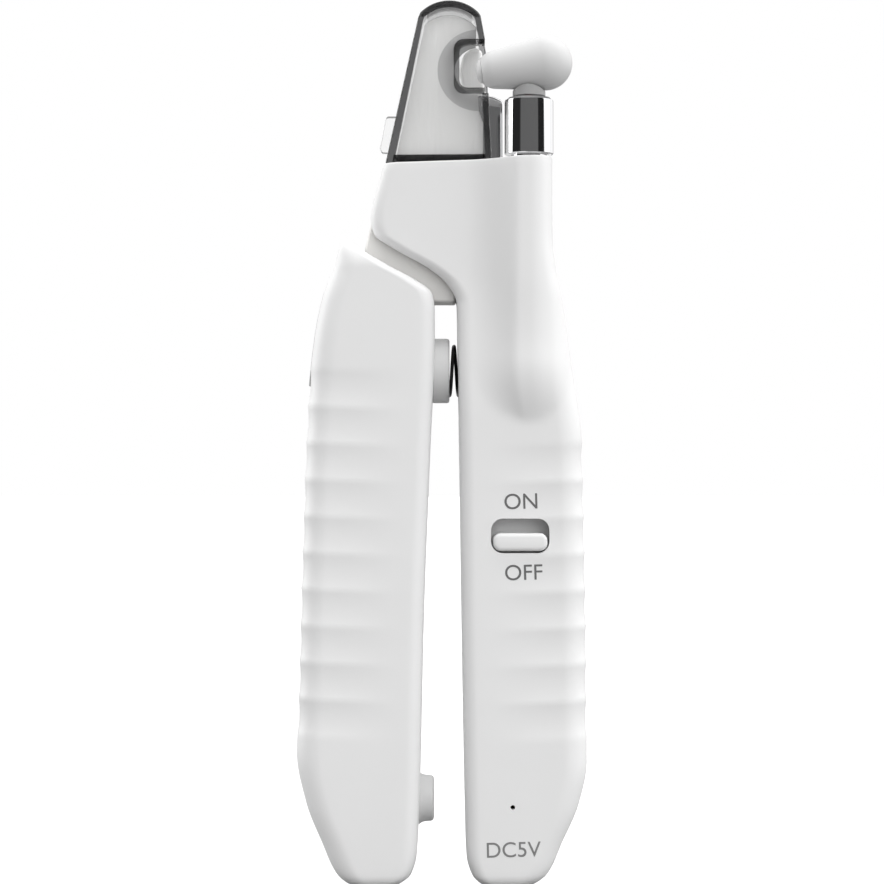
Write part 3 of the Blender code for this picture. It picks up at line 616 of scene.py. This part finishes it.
# Cut-outs: slots, radii of bores and stems, charging inlet, screws, straight line of the lock, and axes
BLADE_SLOT = (-8.2, 13.0, -1.35, 2.9, 119, 126)
SWITCH_SLOT = (8.25, 18.05, 56.35, 62.15)
FRONT_CUT = (-12, -4.5)
ABOVE_HEAD = 126
SPRING_POCKET_R = 6.0
LEAD_R = 1.2
NECK_ROOM_R = 3.3
INDICATOR_R = 0.4
BUSH_ROOM_R = 3.6
SEAT_STEM_R = 2.5
STOP_STEM_R = 1.5
INLET_X = 11.3
INLET_HALF = (4.82, 1.93)
INLET_R = 1.85
HOUSING_SCREWS = [(15.5, 115.5), (14.0, 91.5), (17.5, 80.5)]
ARM_SCREWS = [(-11.0, 76), (-11.0, 92)]
LOCK_LINE = (84.0, 104.0)
Y_TO_Z = Matrix(((1, 0, 0, 0), (0, 0, 1, 0), (0, 1, 0, 0), (0, 0, 0, 1)))
AT_PIVOT = along("Y", PIVOT[0], 0, PIVOT[1])
AT_SPRING = along("X", 0, 0, SPRING_Z)
AT_BUMPER = along("X", 0, 0, BUMPER_Z)
AT_LAMP = along("Z", LAMP_X, LAMP_Y, 0)
AT_LEAD = along("Z", LAMP_X, -6.2, 0)
AT_INDICATOR = along("Y", 11.9, 0, 13.8)


def even_heights(low, high, step):
    return list(np.linspace(low, high, max(2, round((high - low) / step)) + 1)[1:])


def handle_heights(grip):
    """Heights of the sections from the foot over the grip's grooves to the hinge."""
    low, pitch, count = grip
    grooves = [low + pitch * k / GROOVE_STEPS for k in range(count * GROOVE_STEPS + 1)]
    foot = FOOT_HEIGHTS + even_heights(FOOT_HEIGHTS[-1], low, 0.9)[:-1]
    return foot + grooves + even_heights(grooves[-1], HINGE_LOW, 0.8)


def body_rings():
    handle = Handle("body")
    heights = handle_heights(BODY_GRIP) + even_heights(HINGE_LOW, HINGE_HIGH, 0.4)
    heights += even_heights(HINGE_HIGH, HEAD_TOP - HEAD_EDGE, 1.2)
    rings = [handle.ring(z, *BODY_POINTS) for z in heights]
    top = handle.ring(HEAD_TOP, *BODY_POINTS)
    for turn in np.radians((18, 36, 54, 72, 90)):
        rings.append(drawn_in(top, HEAD_EDGE * (1 - math.cos(turn)), HEAD_EDGE * (math.sin(turn) - 1)))
    return rings


def drawn_in(ring, by, lift):
    """Ring of the head's top edge moved inwards along its own normals and up or down."""
    flat = [Vector((p[0], p[1])) for p in ring]
    drawn = []
    for i, p in enumerate(flat):
        run = (flat[(i + 1) % len(flat)] - flat[i - 1]).normalized()
        drawn.append((p.x - run.y * by, p.y + run.x * by, head_top(p.x) + lift))
    return drawn


def head_top(x):
    return HEAD_TOP - HEAD_TILT * (HEAD_RIGHT - x)


def lever_rings():
    handle = Handle("lever")
    heights = handle_heights(LEVER_GRIP) + even_heights(HINGE_LOW, CROWN_LOW, 0.4)
    heights += even_heights(CROWN_LOW, LEVER_TOP - CROWN_STEP, CROWN_STEP)
    return [handle.ring(z, *LEVER_POINTS) for z in heights]


def inlet_room(z0, z1):
    """Rounded slot of the charging inlet, long side along Y."""
    y, x = INLET_HALF
    turn = Matrix(((0, 0, 1, INLET_X), (1, 0, 0, 0), (0, 1, 0, 0), (0, 0, 0, 1)))
    return moved(prism(rounded_rect(-y, y, -x, x, INLET_R), z0, z1), turn)


def screw_room(spots, head_y):
    """Counterbores for screws, as one bmesh."""
    bm = bmesh.new()
    profile = [(0, -3.8), (1.3, -3.8), (1.3, head_y), (2.2, head_y), (2.2, 12), (0, 12)]
    for x, z in spots:
        one = turned(profile, 40, along("Y", x, 0, z))
        mesh = bpy.data.meshes.new("room")
        one.to_mesh(mesh)
        one.free()
        bm.from_mesh(mesh)
        bpy.data.meshes.remove(mesh)
    return bm


def lock_outline(depth, z0, z1, proud):
    """Strip along the lever's outer edge, straight inside and following the edge outside."""
    low, high = LOCK_LINE
    slope = (lever_outer(high) - lever_outer(low)) / (high - low)
    floor = [(lever_outer(low) + slope * (z - low) + depth, z) for z in (z1, z0)]
    return [(lever_outer(z) - proud, z) for z in np.linspace(z0, z1, 24)] + floor


def half_space(front):
    """Block larger than the part, in front of the seam or behind it."""
    seam = bpy.context.scene.clipper_housing.seam
    return box(-40, 40, -30, -seam, -5, 160) if front else box(-40, 40, seam, 30, -5, 160)


def moulded_halves(side, rings, cavity, cuts):
    """Front and back moulding of a handle, hollowed and cut out."""
    handle = Handle(side)
    wall = bpy.context.scene.clipper_housing.wall
    for half in ("front", "back"):
        front = half == "front"
        hollow = lofted([handle.ring(z, *CAVITY_POINTS, wall) for z in cavity])
        cutters = [("INTERSECT", half_space(front)), hollow, *cuts(front)]
        piece(f"{side}_{half}_moulding", lofted(rings), "white", side, [f"{side}_{half}_shell"],
              24, cutters)


class CLIPPER_OT_body_shells(bpy.types.Operator):
    """Right handle and head, as a front and a back moulding with their cut-outs"""

    bl_idname = "clipper.body_shells"
    bl_label = "Body shells"

    def execute(self, context):
        moulded_halves("body", body_rings(), BODY_CAVITY, self.cuts)
        return {"FINISHED"}

    def cuts(self, front):
        cutters = [prism(HINGE_SLOT, *HINGE_DEPTH), prism(NECK_SLOT, *NECK_DEPTH), box(*BLADE_SLOT),
                   rod(SPRING_POCKET_R, 1.0, 9.2, 64, AT_SPRING), rod(PIN_ROOM_R, -5.8, 7.6, 32, AT_PIVOT),
                   inlet_room(-1.0, 5.0), screw_room(HOUSING_SCREWS, 6.5)]
        if front:
            cutters += [rod(LEAD_R, 66.5, ABOVE_HEAD, 16, AT_LEAD),
                        rod(NECK_ROOM_R, 118.6, ABOVE_HEAD, 48, AT_LAMP),
                        prism(rounded_rect(*SWITCH_SLOT, 2.0), *FRONT_CUT),
                        rod(INDICATOR_R, *FRONT_CUT, 20, AT_INDICATOR)]
        return cutters


class CLIPPER_OT_lever_shells(bpy.types.Operator):
    """Left handle, as a front and a back moulding with their cut-outs"""

    bl_idname = "clipper.lever_shells"
    bl_label = "Lever shells"

    def execute(self, context):
        moulded_halves("lever", lever_rings(), LEVER_CAVITY, self.cuts)
        return {"FINISHED"}

    def cuts(self, front):
        cutters = [prism(ARM_WAY, *WAY_DEPTH), rod(SEAT_STEM_R + GAP, -6.0, 2.0, 32, AT_SPRING),
                   rod(STOP_STEM_R + GAP, -8.0, 0.0, 32, AT_BUMPER),
                   prism(lock_outline(1.6, 84.0, 105.6, 3.0), -2.0, 2.0)]
        return cutters if front else cutters + [screw_room(ARM_SCREWS, 6.9)]


class CLIPPER_OT_lever_arm(bpy.types.Operator):
    """Neck of the lever that goes into the head"""

    bl_idname = "clipper.lever_arm"
    bl_label = "Lever arm"

    def execute(self, context):
        arm = soften(prism(ARM_STRIP, *ARM_DEPTH), 0.4)
        pad = soften(prism(NECK_PAD, *PAD_DEPTH), 0.6)
        cutters = [("UNION", pad), rod(BUSH_ROOM_R, 1, 8, 40, AT_PIVOT)]
        piece("lever_neck", arm, "neck", "lever", ["lever_arm"], cutters=cutters)
        return {"FINISHED"}


# Blades: depths, radii at the pivot, ground crescent as (x, z) and radius, and where the ground faces begin
FIXED_DEPTH = (-1.0, 0.6)
MOVING_DEPTH = (1.0, 2.6)
TANG_R = 6.0
ROOT_R = 7.2
CRESCENT = (6.2, 138.3)
CRESCENT_R = 4.0
BEVEL_LOW = 128.0
TIP_LOW = 134.2


def second_finish(obj, finish, faces):
    """Gives some faces of a piece a finish of their own."""
    obj.data.materials.append(finishes()[finish])
    for face in faces:
        face.material_index = 1


class CLIPPER_OT_blades(bpy.types.Operator):
    """Hooked fixed blade with its ground crescent, and the polished moving blade"""

    bl_idname = "clipper.blades"
    bl_label = "Blades"

    def execute(self, context):
        self.fixed_blade()
        self.moving_blade()
        return {"FINISHED"}

    def fixed_blade(self):
        outline = arc(*PIVOT, TANG_R, 180, 360, 32)
        outline += [(6.9, 116.5), (5.2, 121), (7.0, 124.4), (7.0, 129.5), (6.3, 131.6), (5.8, 142.6)]
        outline += arc(1.25, 141.7, 6.05, 40, 133, 28) + [(-7.6, 124.2), (-6.9, 121), (-5.0, 116.5)]
        bm = soften(prism(outline, *FIXED_DEPTH), 0.12, 2)
        cone = [(0, -1.6), (8.4, -1.6), (CRESCENT_R, 0.2), (CRESCENT_R, 1.0), (0, 1.0)]
        grind = turned(cone, 96, along("Y", CRESCENT[0], 0, CRESCENT[1]))
        facet = moved(prism([(-1.7, -1.0), (-1.7, -1.5), (-10, -1.5), (-10, -0.62)], 110, 160), Y_TO_Z)
        cutters = [grind, facet, rod(PIN_ROOM_R, -3, 3, 40, AT_PIVOT)]
        blade = piece("hook_blade", bm, "steel", "body", ["fixed_blade"], cutters=cutters)
        leaning = [face for face in blade.data.polygons if -0.95 < face.normal.y < -0.2]
        second_finish(blade, "bevel", [face for face in leaning if face.center.z > BEVEL_LOW * MM])

    def moving_blade(self):
        outline = arc(*PIVOT, ROOT_R, 100, 380, 40)
        outline += [(10.7, 122), (10.7, 133.4), (9.0, TIP_LOW), (7.4, 134.6), (6.9, 142.2), (5.2, 142.6)]
        outline += [(3.6, 141.2), (3.0, 138.4), (3.4, 134.5), (5.5, 129), (5.2, 121.4)]
        bm = soften(prism(outline, *MOVING_DEPTH), 0.75, 8, 20)
        whole = bm.verts[:] + bm.edges[:] + bm.faces[:]
        bmesh.ops.bisect_plane(bm, geom=whole, plane_co=(0, 0, TIP_LOW), plane_no=(0, 0, 1))
        cutters = [rod(PIN_ROOM_R, -3, 8, 40, AT_PIVOT)]
        blade = piece("sweep_blade", bm, "chrome", "lever", ["moving_blade"], cutters=cutters)
        second_finish(blade, "steel", [face for face in blade.data.polygons if face.center.z > TIP_LOW * MM])


# Cap: sides, depths, crown's middle, bend of the right wall, top of the left wall, nail notch, lip and tab
CAP_LEFT = -9.6
CAP_RIGHT = 8.5
CAP_DEPTH = (-2.6, 8.3)
CAP_PANELS = {"front": (-2.55, -1.65), "back": (7.35, 8.25)}
CROWN_X = 1.3
CAP_BEND = 142.0
CAP_SHOULDER = (-4.05, 147.0)
NOTCH = rounded_rect(2.0, 14.0, 134.2, 143.4, 1.8)
NOTCH_DEPTH = (-4.0, 3.0)
LIP_OUTSIDE = rounded_rect(2.02, 10.0, 134.22, 143.38, 1.78)
LIP_INSIDE = rounded_rect(3.0, 14.0, 135.1, 142.4, 1.3)
LIP_DEPTH = (-2.9, -1.25)
TAB = [(-7.0, 124.6), (-7.0, 130.8), (-9.2, 130.8), (-9.6, 130.5), (-10.6, 125.3), (-10.3, 124.6)]
TAB_DEPTH = (1.4, 4.6)


class CLIPPER_OT_cap(bpy.types.Operator):
    """Smoky cap: dark rim walls, clear front and back panels, base band, notch lip and grip tab"""

    bl_idname = "clipper.cap"
    bl_label = "Clippings cap"

    def execute(self, context):
        left = head_top(CAP_LEFT) + GAP
        right = head_top(CAP_RIGHT) + GAP
        self.rim(left, right)
        self.panels(left, right)
        around = [prism(LIP_INSIDE, -6, 6), box(7.3, 20, -6, 6, 130, 150)]
        self.part("notch_lip", prism(LIP_OUTSIDE, *LIP_DEPTH), "smoky_lip", around)
        inside = prism([(CAP_LEFT, left), (0, left), (0, CAP_SHOULDER[1]), CAP_SHOULDER], -10, 20)
        self.part("grip_tab", soften(prism(TAB, *TAB_DEPTH), 0.25, 3, 40), "clear", [inside])
        return {"FINISHED"}

    def part(self, name, bm, finish, cutters=()):
        piece(name, bm, finish, "cap", ["clippings_cap"], 40, cutters)

    def rim(self, left, right):
        outline = [(CAP_LEFT, left), (CAP_RIGHT, right), (7.6, CAP_BEND), (6.6, 147.4)]
        outline += arc(CROWN_X, 143.0, 7.0, 45, 135, 28) + [CAP_SHOULDER]
        hollow = [(-8.55, left - 2), (7.45, right - 2), (6.55, CAP_BEND), (5.7, 146.6)]
        hollow += arc(CROWN_X, 142.6, 6.2, 48, 132, 28) + [(-3.15, 146.6)]
        blade_way = box(5.6, 12.0, 0.6, 3.05, right - 3, 135.5)
        cutters = [prism(hollow, -6, 12), prism(NOTCH, *NOTCH_DEPTH), blade_way]
        self.part("smoky_rim", soften(prism(outline, *CAP_DEPTH), 0.35, 3, 40), "smoky", cutters)

    def panels(self, left, right):
        band = [(-8.45, left), (7.42, right), (7.4, right + 1.0), (-8.15, left + 1.5)]
        window = [(-8.12, left + 1.52), (7.38, right + 1.02), (6.53, CAP_BEND), (5.68, 146.58)]
        window += arc(CROWN_X, 142.6, 6.18, 48, 132, 28) + [(-3.13, 146.58)]
        for name, depth in CAP_PANELS.items():
            cutters = [prism(NOTCH, *NOTCH_DEPTH)] if name == "front" else []
            self.part(f"clear_{name}_panel", soften(prism(window, *depth), 0.06, 2, 40), "panel", cutters)
            self.part(f"{name}_base_band", soften(prism(band, *depth), 0.06, 2, 40), "smoky_edge")


# Lamp: radii of neck and collar, wall, angle of the mouth, dome, and the two balls that the egg spans
NECK_R = 4.1
NECK_BORE_R = 2.4
NECK_STUB_R = 3.0
NECK_LOW = 119.0
COLLAR_R = 2.75
COLLAR_BORE_R = 1.9
COLLAR_TOP = 136.5
LAMP_WALL = 1.1
MOUTH_ANGLE = 50
DOME_R = 1.98
DOME_RISE = 0.94
DOME_SINK = 0.6
EGG_BACK = Vector((17.4, LAMP_Y, 138.6))
EGG_BACK_R = 4.55
EGG_NOSE = Vector((9.1, LAMP_Y, 137.5))
EGG_NOSE_R = 3.2
EGG_AXIS = EGG_NOSE - EGG_BACK
AT_EGG = Matrix.Translation(EGG_BACK) @ EGG_AXIS.to_track_quat("Z", "Y").to_matrix().to_4x4()


def egg_profile(grow, mouth):
    """Outside of the lamp head along its own axis, from the round back to the nose mouth."""
    r0 = EGG_BACK_R + grow
    r1 = EGG_NOSE_R + grow
    tilt = math.degrees(math.asin((r0 - r1) / EGG_AXIS.length))
    back = [(max(r, 0.0), h) for r, h in arc(0, 0, r0, -90, tilt, 27)]
    return back + arc(0, EGG_AXIS.length, r1, tilt, mouth, 7)


class CLIPPER_OT_lamp(bpy.types.Operator):
    """Chrome neck, grey collar, white lamp head and milky dome"""

    bl_idname = "clipper.lamp"
    bl_label = "Lamp"

    def execute(self, context):
        low = HEAD_TOP + GAP
        top = NECK_TOP
        line = [(NECK_BORE_R, NECK_LOW), (NECK_STUB_R, NECK_LOW), (NECK_STUB_R, low), (NECK_R - 0.15, low),
                (NECK_R, low + 0.15), (NECK_R, top - 0.6), (NECK_R - 0.05, top - 0.4), (NECK_R - 0.45, top),
                (NECK_R - 0.6, top), (NECK_BORE_R, top)]
        piece("chrome_neck", turned(line, 96, AT_LAMP), "chrome", "body", ["lamp_neck"], 30)
        base = NECK_TOP + GAP
        line = [(COLLAR_BORE_R, base), (COLLAR_R - 0.1, base), (COLLAR_R, base + 0.1), (COLLAR_R, COLLAR_TOP),
                (COLLAR_BORE_R, COLLAR_TOP)]
        collar = turned(line, 80, AT_LAMP)
        cutters = [turned(egg_profile(GAP, 60) + [(0, 10.5)], 64, AT_EGG)]
        piece("lamp_collar", collar, "collar", "lamp", ["neck_collar"], 30, cutters)
        outside = egg_profile(0.0, MOUTH_ANGLE)
        inside = egg_profile(-LAMP_WALL, MOUTH_ANGLE)
        head = turned(outside + inside[::-1], 96, AT_EGG)
        piece("lamp_head", head, "lamp_white", "lamp", ["lamp_shell"], 40)
        mouth = outside[-1][1]
        line = [(0, mouth - DOME_SINK), (1.2, mouth - DOME_SINK)]
        for a in np.radians(np.linspace(0, 90, 20))[:-1]:
            line.append((DOME_R * math.cos(a), mouth + 0.06 + DOME_RISE * math.sin(a)))
        line.append((0, mouth + 0.06 + DOME_RISE))
        piece("lamp_dome", turned(line, 80, AT_EGG), "lamp_white", "lamp", ["lamp_lens"], 30)
        return {"FINISHED"}


# Switch: knob in the front view and in depth, and its dust plate and stem as boxes
KNOB = rounded_rect(8.6, 17.7, 56.7, 59.7, 1.3, 12)
KNOB_DEPTH = (-8.9, -4.1)
DUST_PLATE = (7.4, 18.6, -4.4, -3.7, 52.8, 62.8)
KNOB_STEM = (12.3, 14.3, -4.0, -2.7, 57.0, 59.0)


class CLIPPER_OT_switch(bpy.types.Operator):
    """Slide knob with its dust plate"""

    bl_idname = "clipper.switch"
    bl_label = "Switch"

    def execute(self, context):
        knob = soften(prism(KNOB, *KNOB_DEPTH), 0.7, 5, 60)
        joined = [("UNION", box(*DUST_PLATE)), ("UNION", box(*KNOB_STEM))]
        piece("slide_knob", knob, "white", "switch", ["switch_knob"], 30, joined)
        return {"FINISHED"}


# Spring: turns, steps per turn, coil and wire radius, start and length along X, and radius of its seat
COIL_TURNS = 5
COIL_STEPS = 40
COIL_R = 4.2
WIRE_R = 0.3
COIL_START = 0.95
COIL_LENGTH = 7.65
SEAT_R = 5.5


def curve_bmesh(name, curve):
    """Bmesh of a curve or of written text."""
    guide = bpy.data.objects.new(f"{name}_guide", curve)
    bpy.context.scene.collection.objects.link(guide)
    mesh = bpy.data.meshes.new_from_object(guide.evaluated_get(bpy.context.evaluated_depsgraph_get()))
    bpy.data.objects.remove(guide)
    bm = bmesh.new()
    bm.from_mesh(mesh)
    bpy.data.meshes.remove(mesh)
    return bm


class CLIPPER_OT_spring_and_stops(bpy.types.Operator):
    """Spring seat, return spring and bumper between the handles"""

    bl_idname = "clipper.spring_and_stops"
    bl_label = "Spring and stops"

    def execute(self, context):
        seat = [(0, -4.6), (SEAT_STEM_R, -4.6), (SEAT_STEM_R, -1.7), (5.1, -1.7), (5.35, -1.6),
                (SEAT_R, -1.35), (SEAT_R, 0.9), (5.38, 1.18), (5.1, 1.3), (4.95, 1.3), (4.85, 1.2),
                (4.85, -1.1), (0, -1.1)]
        piece("seat_boss", turned(seat, 80, AT_SPRING), "grey", "lever", ["spring_seat"], 30)
        stop = [(0, -6.4), (STOP_STEM_R, -6.4), (STOP_STEM_R, -3.9), (4.5, -3.9), (4.25, -3.6), (4.05, -3.2),
                (3.95, -2.8), (3.9, -1.9), (3.8, -1.6), (3.55, -1.38), (3.2, -1.3), (0, -1.3)]
        piece("stop_pad", turned(stop, 64, AT_BUMPER), "grey", "lever", ["bumper"], 30)
        coil = curve_bmesh("coil", self.wire())
        piece("return_coil", coil, "wire", "body", ["return_spring"], 40)
        return {"FINISHED"}

    def wire(self):
        curve = bpy.data.curves.new("coil", "CURVE")
        curve.dimensions = "3D"
        curve.bevel_depth = WIRE_R
        curve.bevel_resolution = 4
        curve.use_fill_caps = True
        spline = curve.splines.new("POLY")
        steps = COIL_TURNS * COIL_STEPS
        spline.points.add(steps)
        for k, point in enumerate(spline.points):
            a = 2 * math.pi * k / COIL_STEPS
            x = COIL_START + COIL_LENGTH * k / steps
            point.co = (x, COIL_R * math.cos(a), SPRING_Z - COIL_R * math.sin(a), 1)
        return curve


class CLIPPER_OT_lock(bpy.types.Operator):
    """Grey lock plate on the lever's outer edge"""

    bl_idname = "clipper.lock"
    bl_label = "Lock plate"

    def execute(self, context):
        strip = prism(lock_outline(1.2, 84.4, 102.2, 0.25), -1.6, 1.6)
        plate = soften(strip, 0.3, 3, 40)
        piece("lock_plate", plate, "collar", "lock", ["lock_slider"], 30)
        return {"FINISHED"}


# Screws: radii, reach and half width of the cross, and groups as places, tip, seat of the head and body
SHANK_R = 1.0
SCREW_HEAD_R = 1.9
CROSS_REACH = 1.1
CROSS_HALF = 0.2
SCREWS = {"housing_screw": (HOUSING_SCREWS, -3.4, 6.8, "body"), "arm_screw": (ARM_SCREWS, 3.2, 7.2, "lever")}


class CLIPPER_OT_fasteners(bpy.types.Operator):
    """Cross-head screws of the housings"""

    bl_idname = "clipper.fasteners"
    bl_label = "Fasteners"

    def execute(self, context):
        for name, (spots, tip, head, body) in SCREWS.items():
            profile = [(0, tip), (SHANK_R, tip), (SHANK_R, head), (SCREW_HEAD_R, head),
                       (SCREW_HEAD_R, head + 0.55), (1.6, head + 0.85), (1.1, head + 1.0), (0, head + 1.0)]
            for number, (x, z) in enumerate(spots, 1):
                screw = turned(profile, 40, along("Y", x, 0, z))
                cross = [box(x - w, x + w, head + 0.4, head + 3, z - h, z + h)
                         for w, h in ((CROSS_REACH, CROSS_HALF), (CROSS_HALF, CROSS_REACH))]
                node = f"{name}_{number}"
                piece(f"{name}_cross_{number}", screw, "screw", body, [node], 30, cross)
        return {"FINISHED"}


class CLIPPER_OT_inner_pieces(bpy.types.Operator):
    """Finishes of the pieces that keep their construction shape"""

    bl_idname = "clipper.inner_pieces"
    bl_label = "Inner pieces"

    def execute(self, context):
        kept = {"steel": ["blade_dowel_1", "blade_dowel_2", "blade_rivet_1", "blade_rivet_2", "pivot_pin",
                          "pivot_bush", "charge_socket"],
                "board": ["circuit_board"], "foil": ["battery_cell"], "lead": ["lamp_lead"],
                "black": ["switch_body", "socket_tongue"], "led": ["indicator_led", "lamp_led"],
                "chrome": ["lamp_reflector"]}
        for finish, nodes in kept.items():
            for node in nodes:
                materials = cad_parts[node].data.materials
                materials.clear()
                materials.append(finishes()[finish])
        return {"FINISHED"}


# Marks: letter height as a share of the font size, half thickness, lift off the skin, and tilt in degrees
LETTER_SHARE = 0.729
INK_HALF = 0.02
INK_LIFT = 0.012
MARK_TILT = 1.5


def printed(name, text, x, z, height, finish):
    """Printed mark that follows the body's front skin."""
    handle = Handle("body")
    curve = bpy.data.curves.new(name, "FONT")
    curve.body = text
    curve.size = height / LETTER_SHARE
    curve.align_x = "CENTER"
    curve.align_y = "CENTER"
    curve.extrude = INK_HALF
    bm = curve_bmesh(name, curve)
    bmesh.ops.transform(bm, matrix=Matrix.Rotation(math.radians(MARK_TILT), 4, "Z"), verts=bm.verts)
    bmesh.ops.subdivide_edges(bm, edges=[e for e in bm.edges if e.calc_length() > 0.5], cuts=3)
    for vert in bm.verts:
        px = x + vert.co.x
        pz = z + vert.co.y
        vert.co = (px, -handle.front_depth(px, pz) - INK_LIFT - vert.co.z, pz)
    bmesh.ops.recalc_face_normals(bm, faces=bm.faces)
    piece(name, bm, finish, "body", (), 60)


class CLIPPER_OT_markings(bpy.types.Operator):
    """Printed ON and OFF beside the switch and a plain supply mark at the inlet"""

    bl_idname = "clipper.markings"
    bl_label = "Markings"

    def execute(self, context):
        printed("mark_on", "ON", 13.3, 64.9, 2.7, "ink")
        printed("mark_off", "OFF", 13.7, 53.0, 2.7, "ink")
        printed("mark_supply", "DC5V", 11.93, 6.6, 2.65, "pale_ink")
        return {"FINISHED"}


class CLIPPER_OT_stage(bpy.types.Operator):
    """Pale floor, soft light and the camera"""

    bl_idname = "clipper.stage"
    bl_label = "Stage"

    def execute(self, context):
        self.camera(context)
        self.floor(context)
        self.surroundings(context)
        self.panels(context)
        return {"FINISHED"}

    def camera(self, context):
        sizes = context.scene.clipper_stage
        camera = bpy.data.cameras.new("camera")
        camera.sensor_width = EYE_SENSOR
        camera.lens = EYE_SENSOR * sizes.distance / sizes.span
        camera.clip_start = 0.01
        eye = bpy.data.objects.new("camera", camera)
        eye.location = (EYE_X, -sizes.distance - FRONT_PLANE + CENTRE.y * MM, EYE_Z)
        eye.rotation_euler = (math.pi / 2, 0, 0)
        context.scene.collection.objects.link(eye)
        context.scene.camera = eye

    def floor(self, context):
        bm = bmesh.new()
        bmesh.ops.create_grid(bm, x_segments=1, y_segments=1, size=3.0)
        floor = mesh_object("floor", bm)
        floor.location.z = -FLOOR_DROP
        made, tree, shader = new_material("pale_floor")
        seen = tree.nodes.new("ShaderNodeLightPath").outputs["Is Camera Ray"]
        feed(tree, shader, {"Base Color": (FLOOR_TONE, FLOOR_TONE, FLOOR_TONE, 1), "Roughness": 0.9,
                            "Specular IOR Level": 0.0, "Emission Color": WHITE, "Emission Strength": seen})
        floor.data.materials.append(made)

    def surroundings(self, context):
        """White to the camera, cards to polished metal, and soft light with a dark flag to the rest."""
        world = bpy.data.worlds.new("studio")
        world.use_nodes = True
        context.scene.world = world
        context.scene.view_settings.view_transform = "Standard"
        tree = world.node_tree
        direction = tree.nodes.new("ShaderNodeTexCoord").outputs["Generated"]
        level = math_step(tree, "ADD", self.toward(tree, direction, LIGHT_LEAN), LIGHT_LEVEL)
        flag = {"Value": self.toward(tree, direction, FLAG_SIDE), "From Min": FLAG_RANGE[0],
                "From Max": FLAG_RANGE[1], "To Max": FLAG_SHADE}
        shade = add_node(tree, "ShaderNodeMapRange", flag, interpolation_type="SMOOTHSTEP")
        level = math_step(tree, "SUBTRACT", level, shade.outputs["Result"])
        level = math_step(tree, "MAXIMUM", level, LIGHT_LEAST)
        path = tree.nodes.new("ShaderNodeLightPath").outputs
        gloss = self.blend(tree, path["Is Glossy Ray"], level, self.cards(tree, direction))
        seen = self.blend(tree, path["Is Camera Ray"], gloss, WHITE)
        feed(tree, tree.nodes["Background"], {"Color": seen})

    def panels(self, context):
        for name, (place, power) in PANELS.items():
            light = bpy.data.lights.new(f"panel_{name}", "AREA")
            light.size = PANEL_SIZE
            light.energy = power
            lamp = bpy.data.objects.new(f"panel_{name}", light)
            lamp.location = place
            lamp.rotation_euler = (PANEL_AIM - lamp.location).to_track_quat("-Z", "Y").to_euler()
            context.scene.collection.objects.link(lamp)

    def toward(self, tree, direction, side):
        """How far a direction points to a side."""
        dot = add_node(tree, "ShaderNodeVectorMath", {0: direction, 1: side}, operation="DOT_PRODUCT")
        return dot.outputs["Value"]

    def blend(self, tree, factor, first, second):
        inputs = {"Factor": factor, "A": first, "B": second}
        return add_node(tree, "ShaderNodeMix", inputs, data_type="RGBA").outputs["Result"]

    def cards(self, tree, direction):
        """Upright light and dark cards round the set, which polished metal mirrors."""
        axes = add_node(tree, "ShaderNodeSeparateXYZ", {0: direction}).outputs
        angle = math_step(tree, "ARCTAN2", axes["X"], math_step(tree, "MULTIPLY", axes["Y"], -1.0))
        turn = {"Value": angle, "From Min": -math.pi, "From Max": math.pi}
        share = add_node(tree, "ShaderNodeMapRange", turn).outputs["Result"]
        shades = add_node(tree, "ShaderNodeValToRGB", {"Fac": share})
        stops = shades.color_ramp.elements
        for number, (angle, level) in enumerate(CARDS):
            at = (angle + 180) / 360
            stop = stops[0] if number == 0 else stops.new(at)
            stop.position = at
            stop.color = (level, level, level, 1)
        return shades.outputs["Color"]


class CLIPPER_PT_pieces(bpy.types.Panel):
    """Lists the clipper's settings and pieces"""

    bl_label = "Pet nail clipper"
    bl_space_type = "VIEW_3D"
    bl_region_type = "UI"
    bl_category = "Clipper"

    def draw(self, context):
        for name, kind in GROUPS.items():
            for setting in kind.__annotations__:
                self.layout.prop(getattr(context.scene, name), setting)
        for operator in PIECES:
            self.layout.operator(operator.bl_idname)


GROUPS = {"clipper_housing": HousingSizes, "clipper_colours": FinishColours, "clipper_stage": StageSizes}
PIECES = (CLIPPER_OT_stage, CLIPPER_OT_body_shells, CLIPPER_OT_lever_shells, CLIPPER_OT_lever_arm,
          CLIPPER_OT_blades, CLIPPER_OT_cap, CLIPPER_OT_lamp, CLIPPER_OT_switch, CLIPPER_OT_spring_and_stops,
          CLIPPER_OT_lock, CLIPPER_OT_fasteners, CLIPPER_OT_inner_pieces, CLIPPER_OT_markings)
CLASSES = (*GROUPS.values(), *PIECES, CLIPPER_PT_pieces)


def register():
    for cls in CLASSES:
        bpy.utils.register_class(cls)
    for name, group in GROUPS.items():
        setattr(bpy.types.Scene, name, PointerProperty(type=group))


def unregister():
    for name in GROUPS:
        delattr(bpy.types.Scene, name)
    for cls in reversed(CLASSES):
        bpy.utils.unregister_class(cls)


def main():
    register()
    for operator in PIECES:
        family, name = operator.bl_idname.split(".")
        getattr(getattr(bpy.ops, family), name)()


if __name__ == "__main__":
    main()
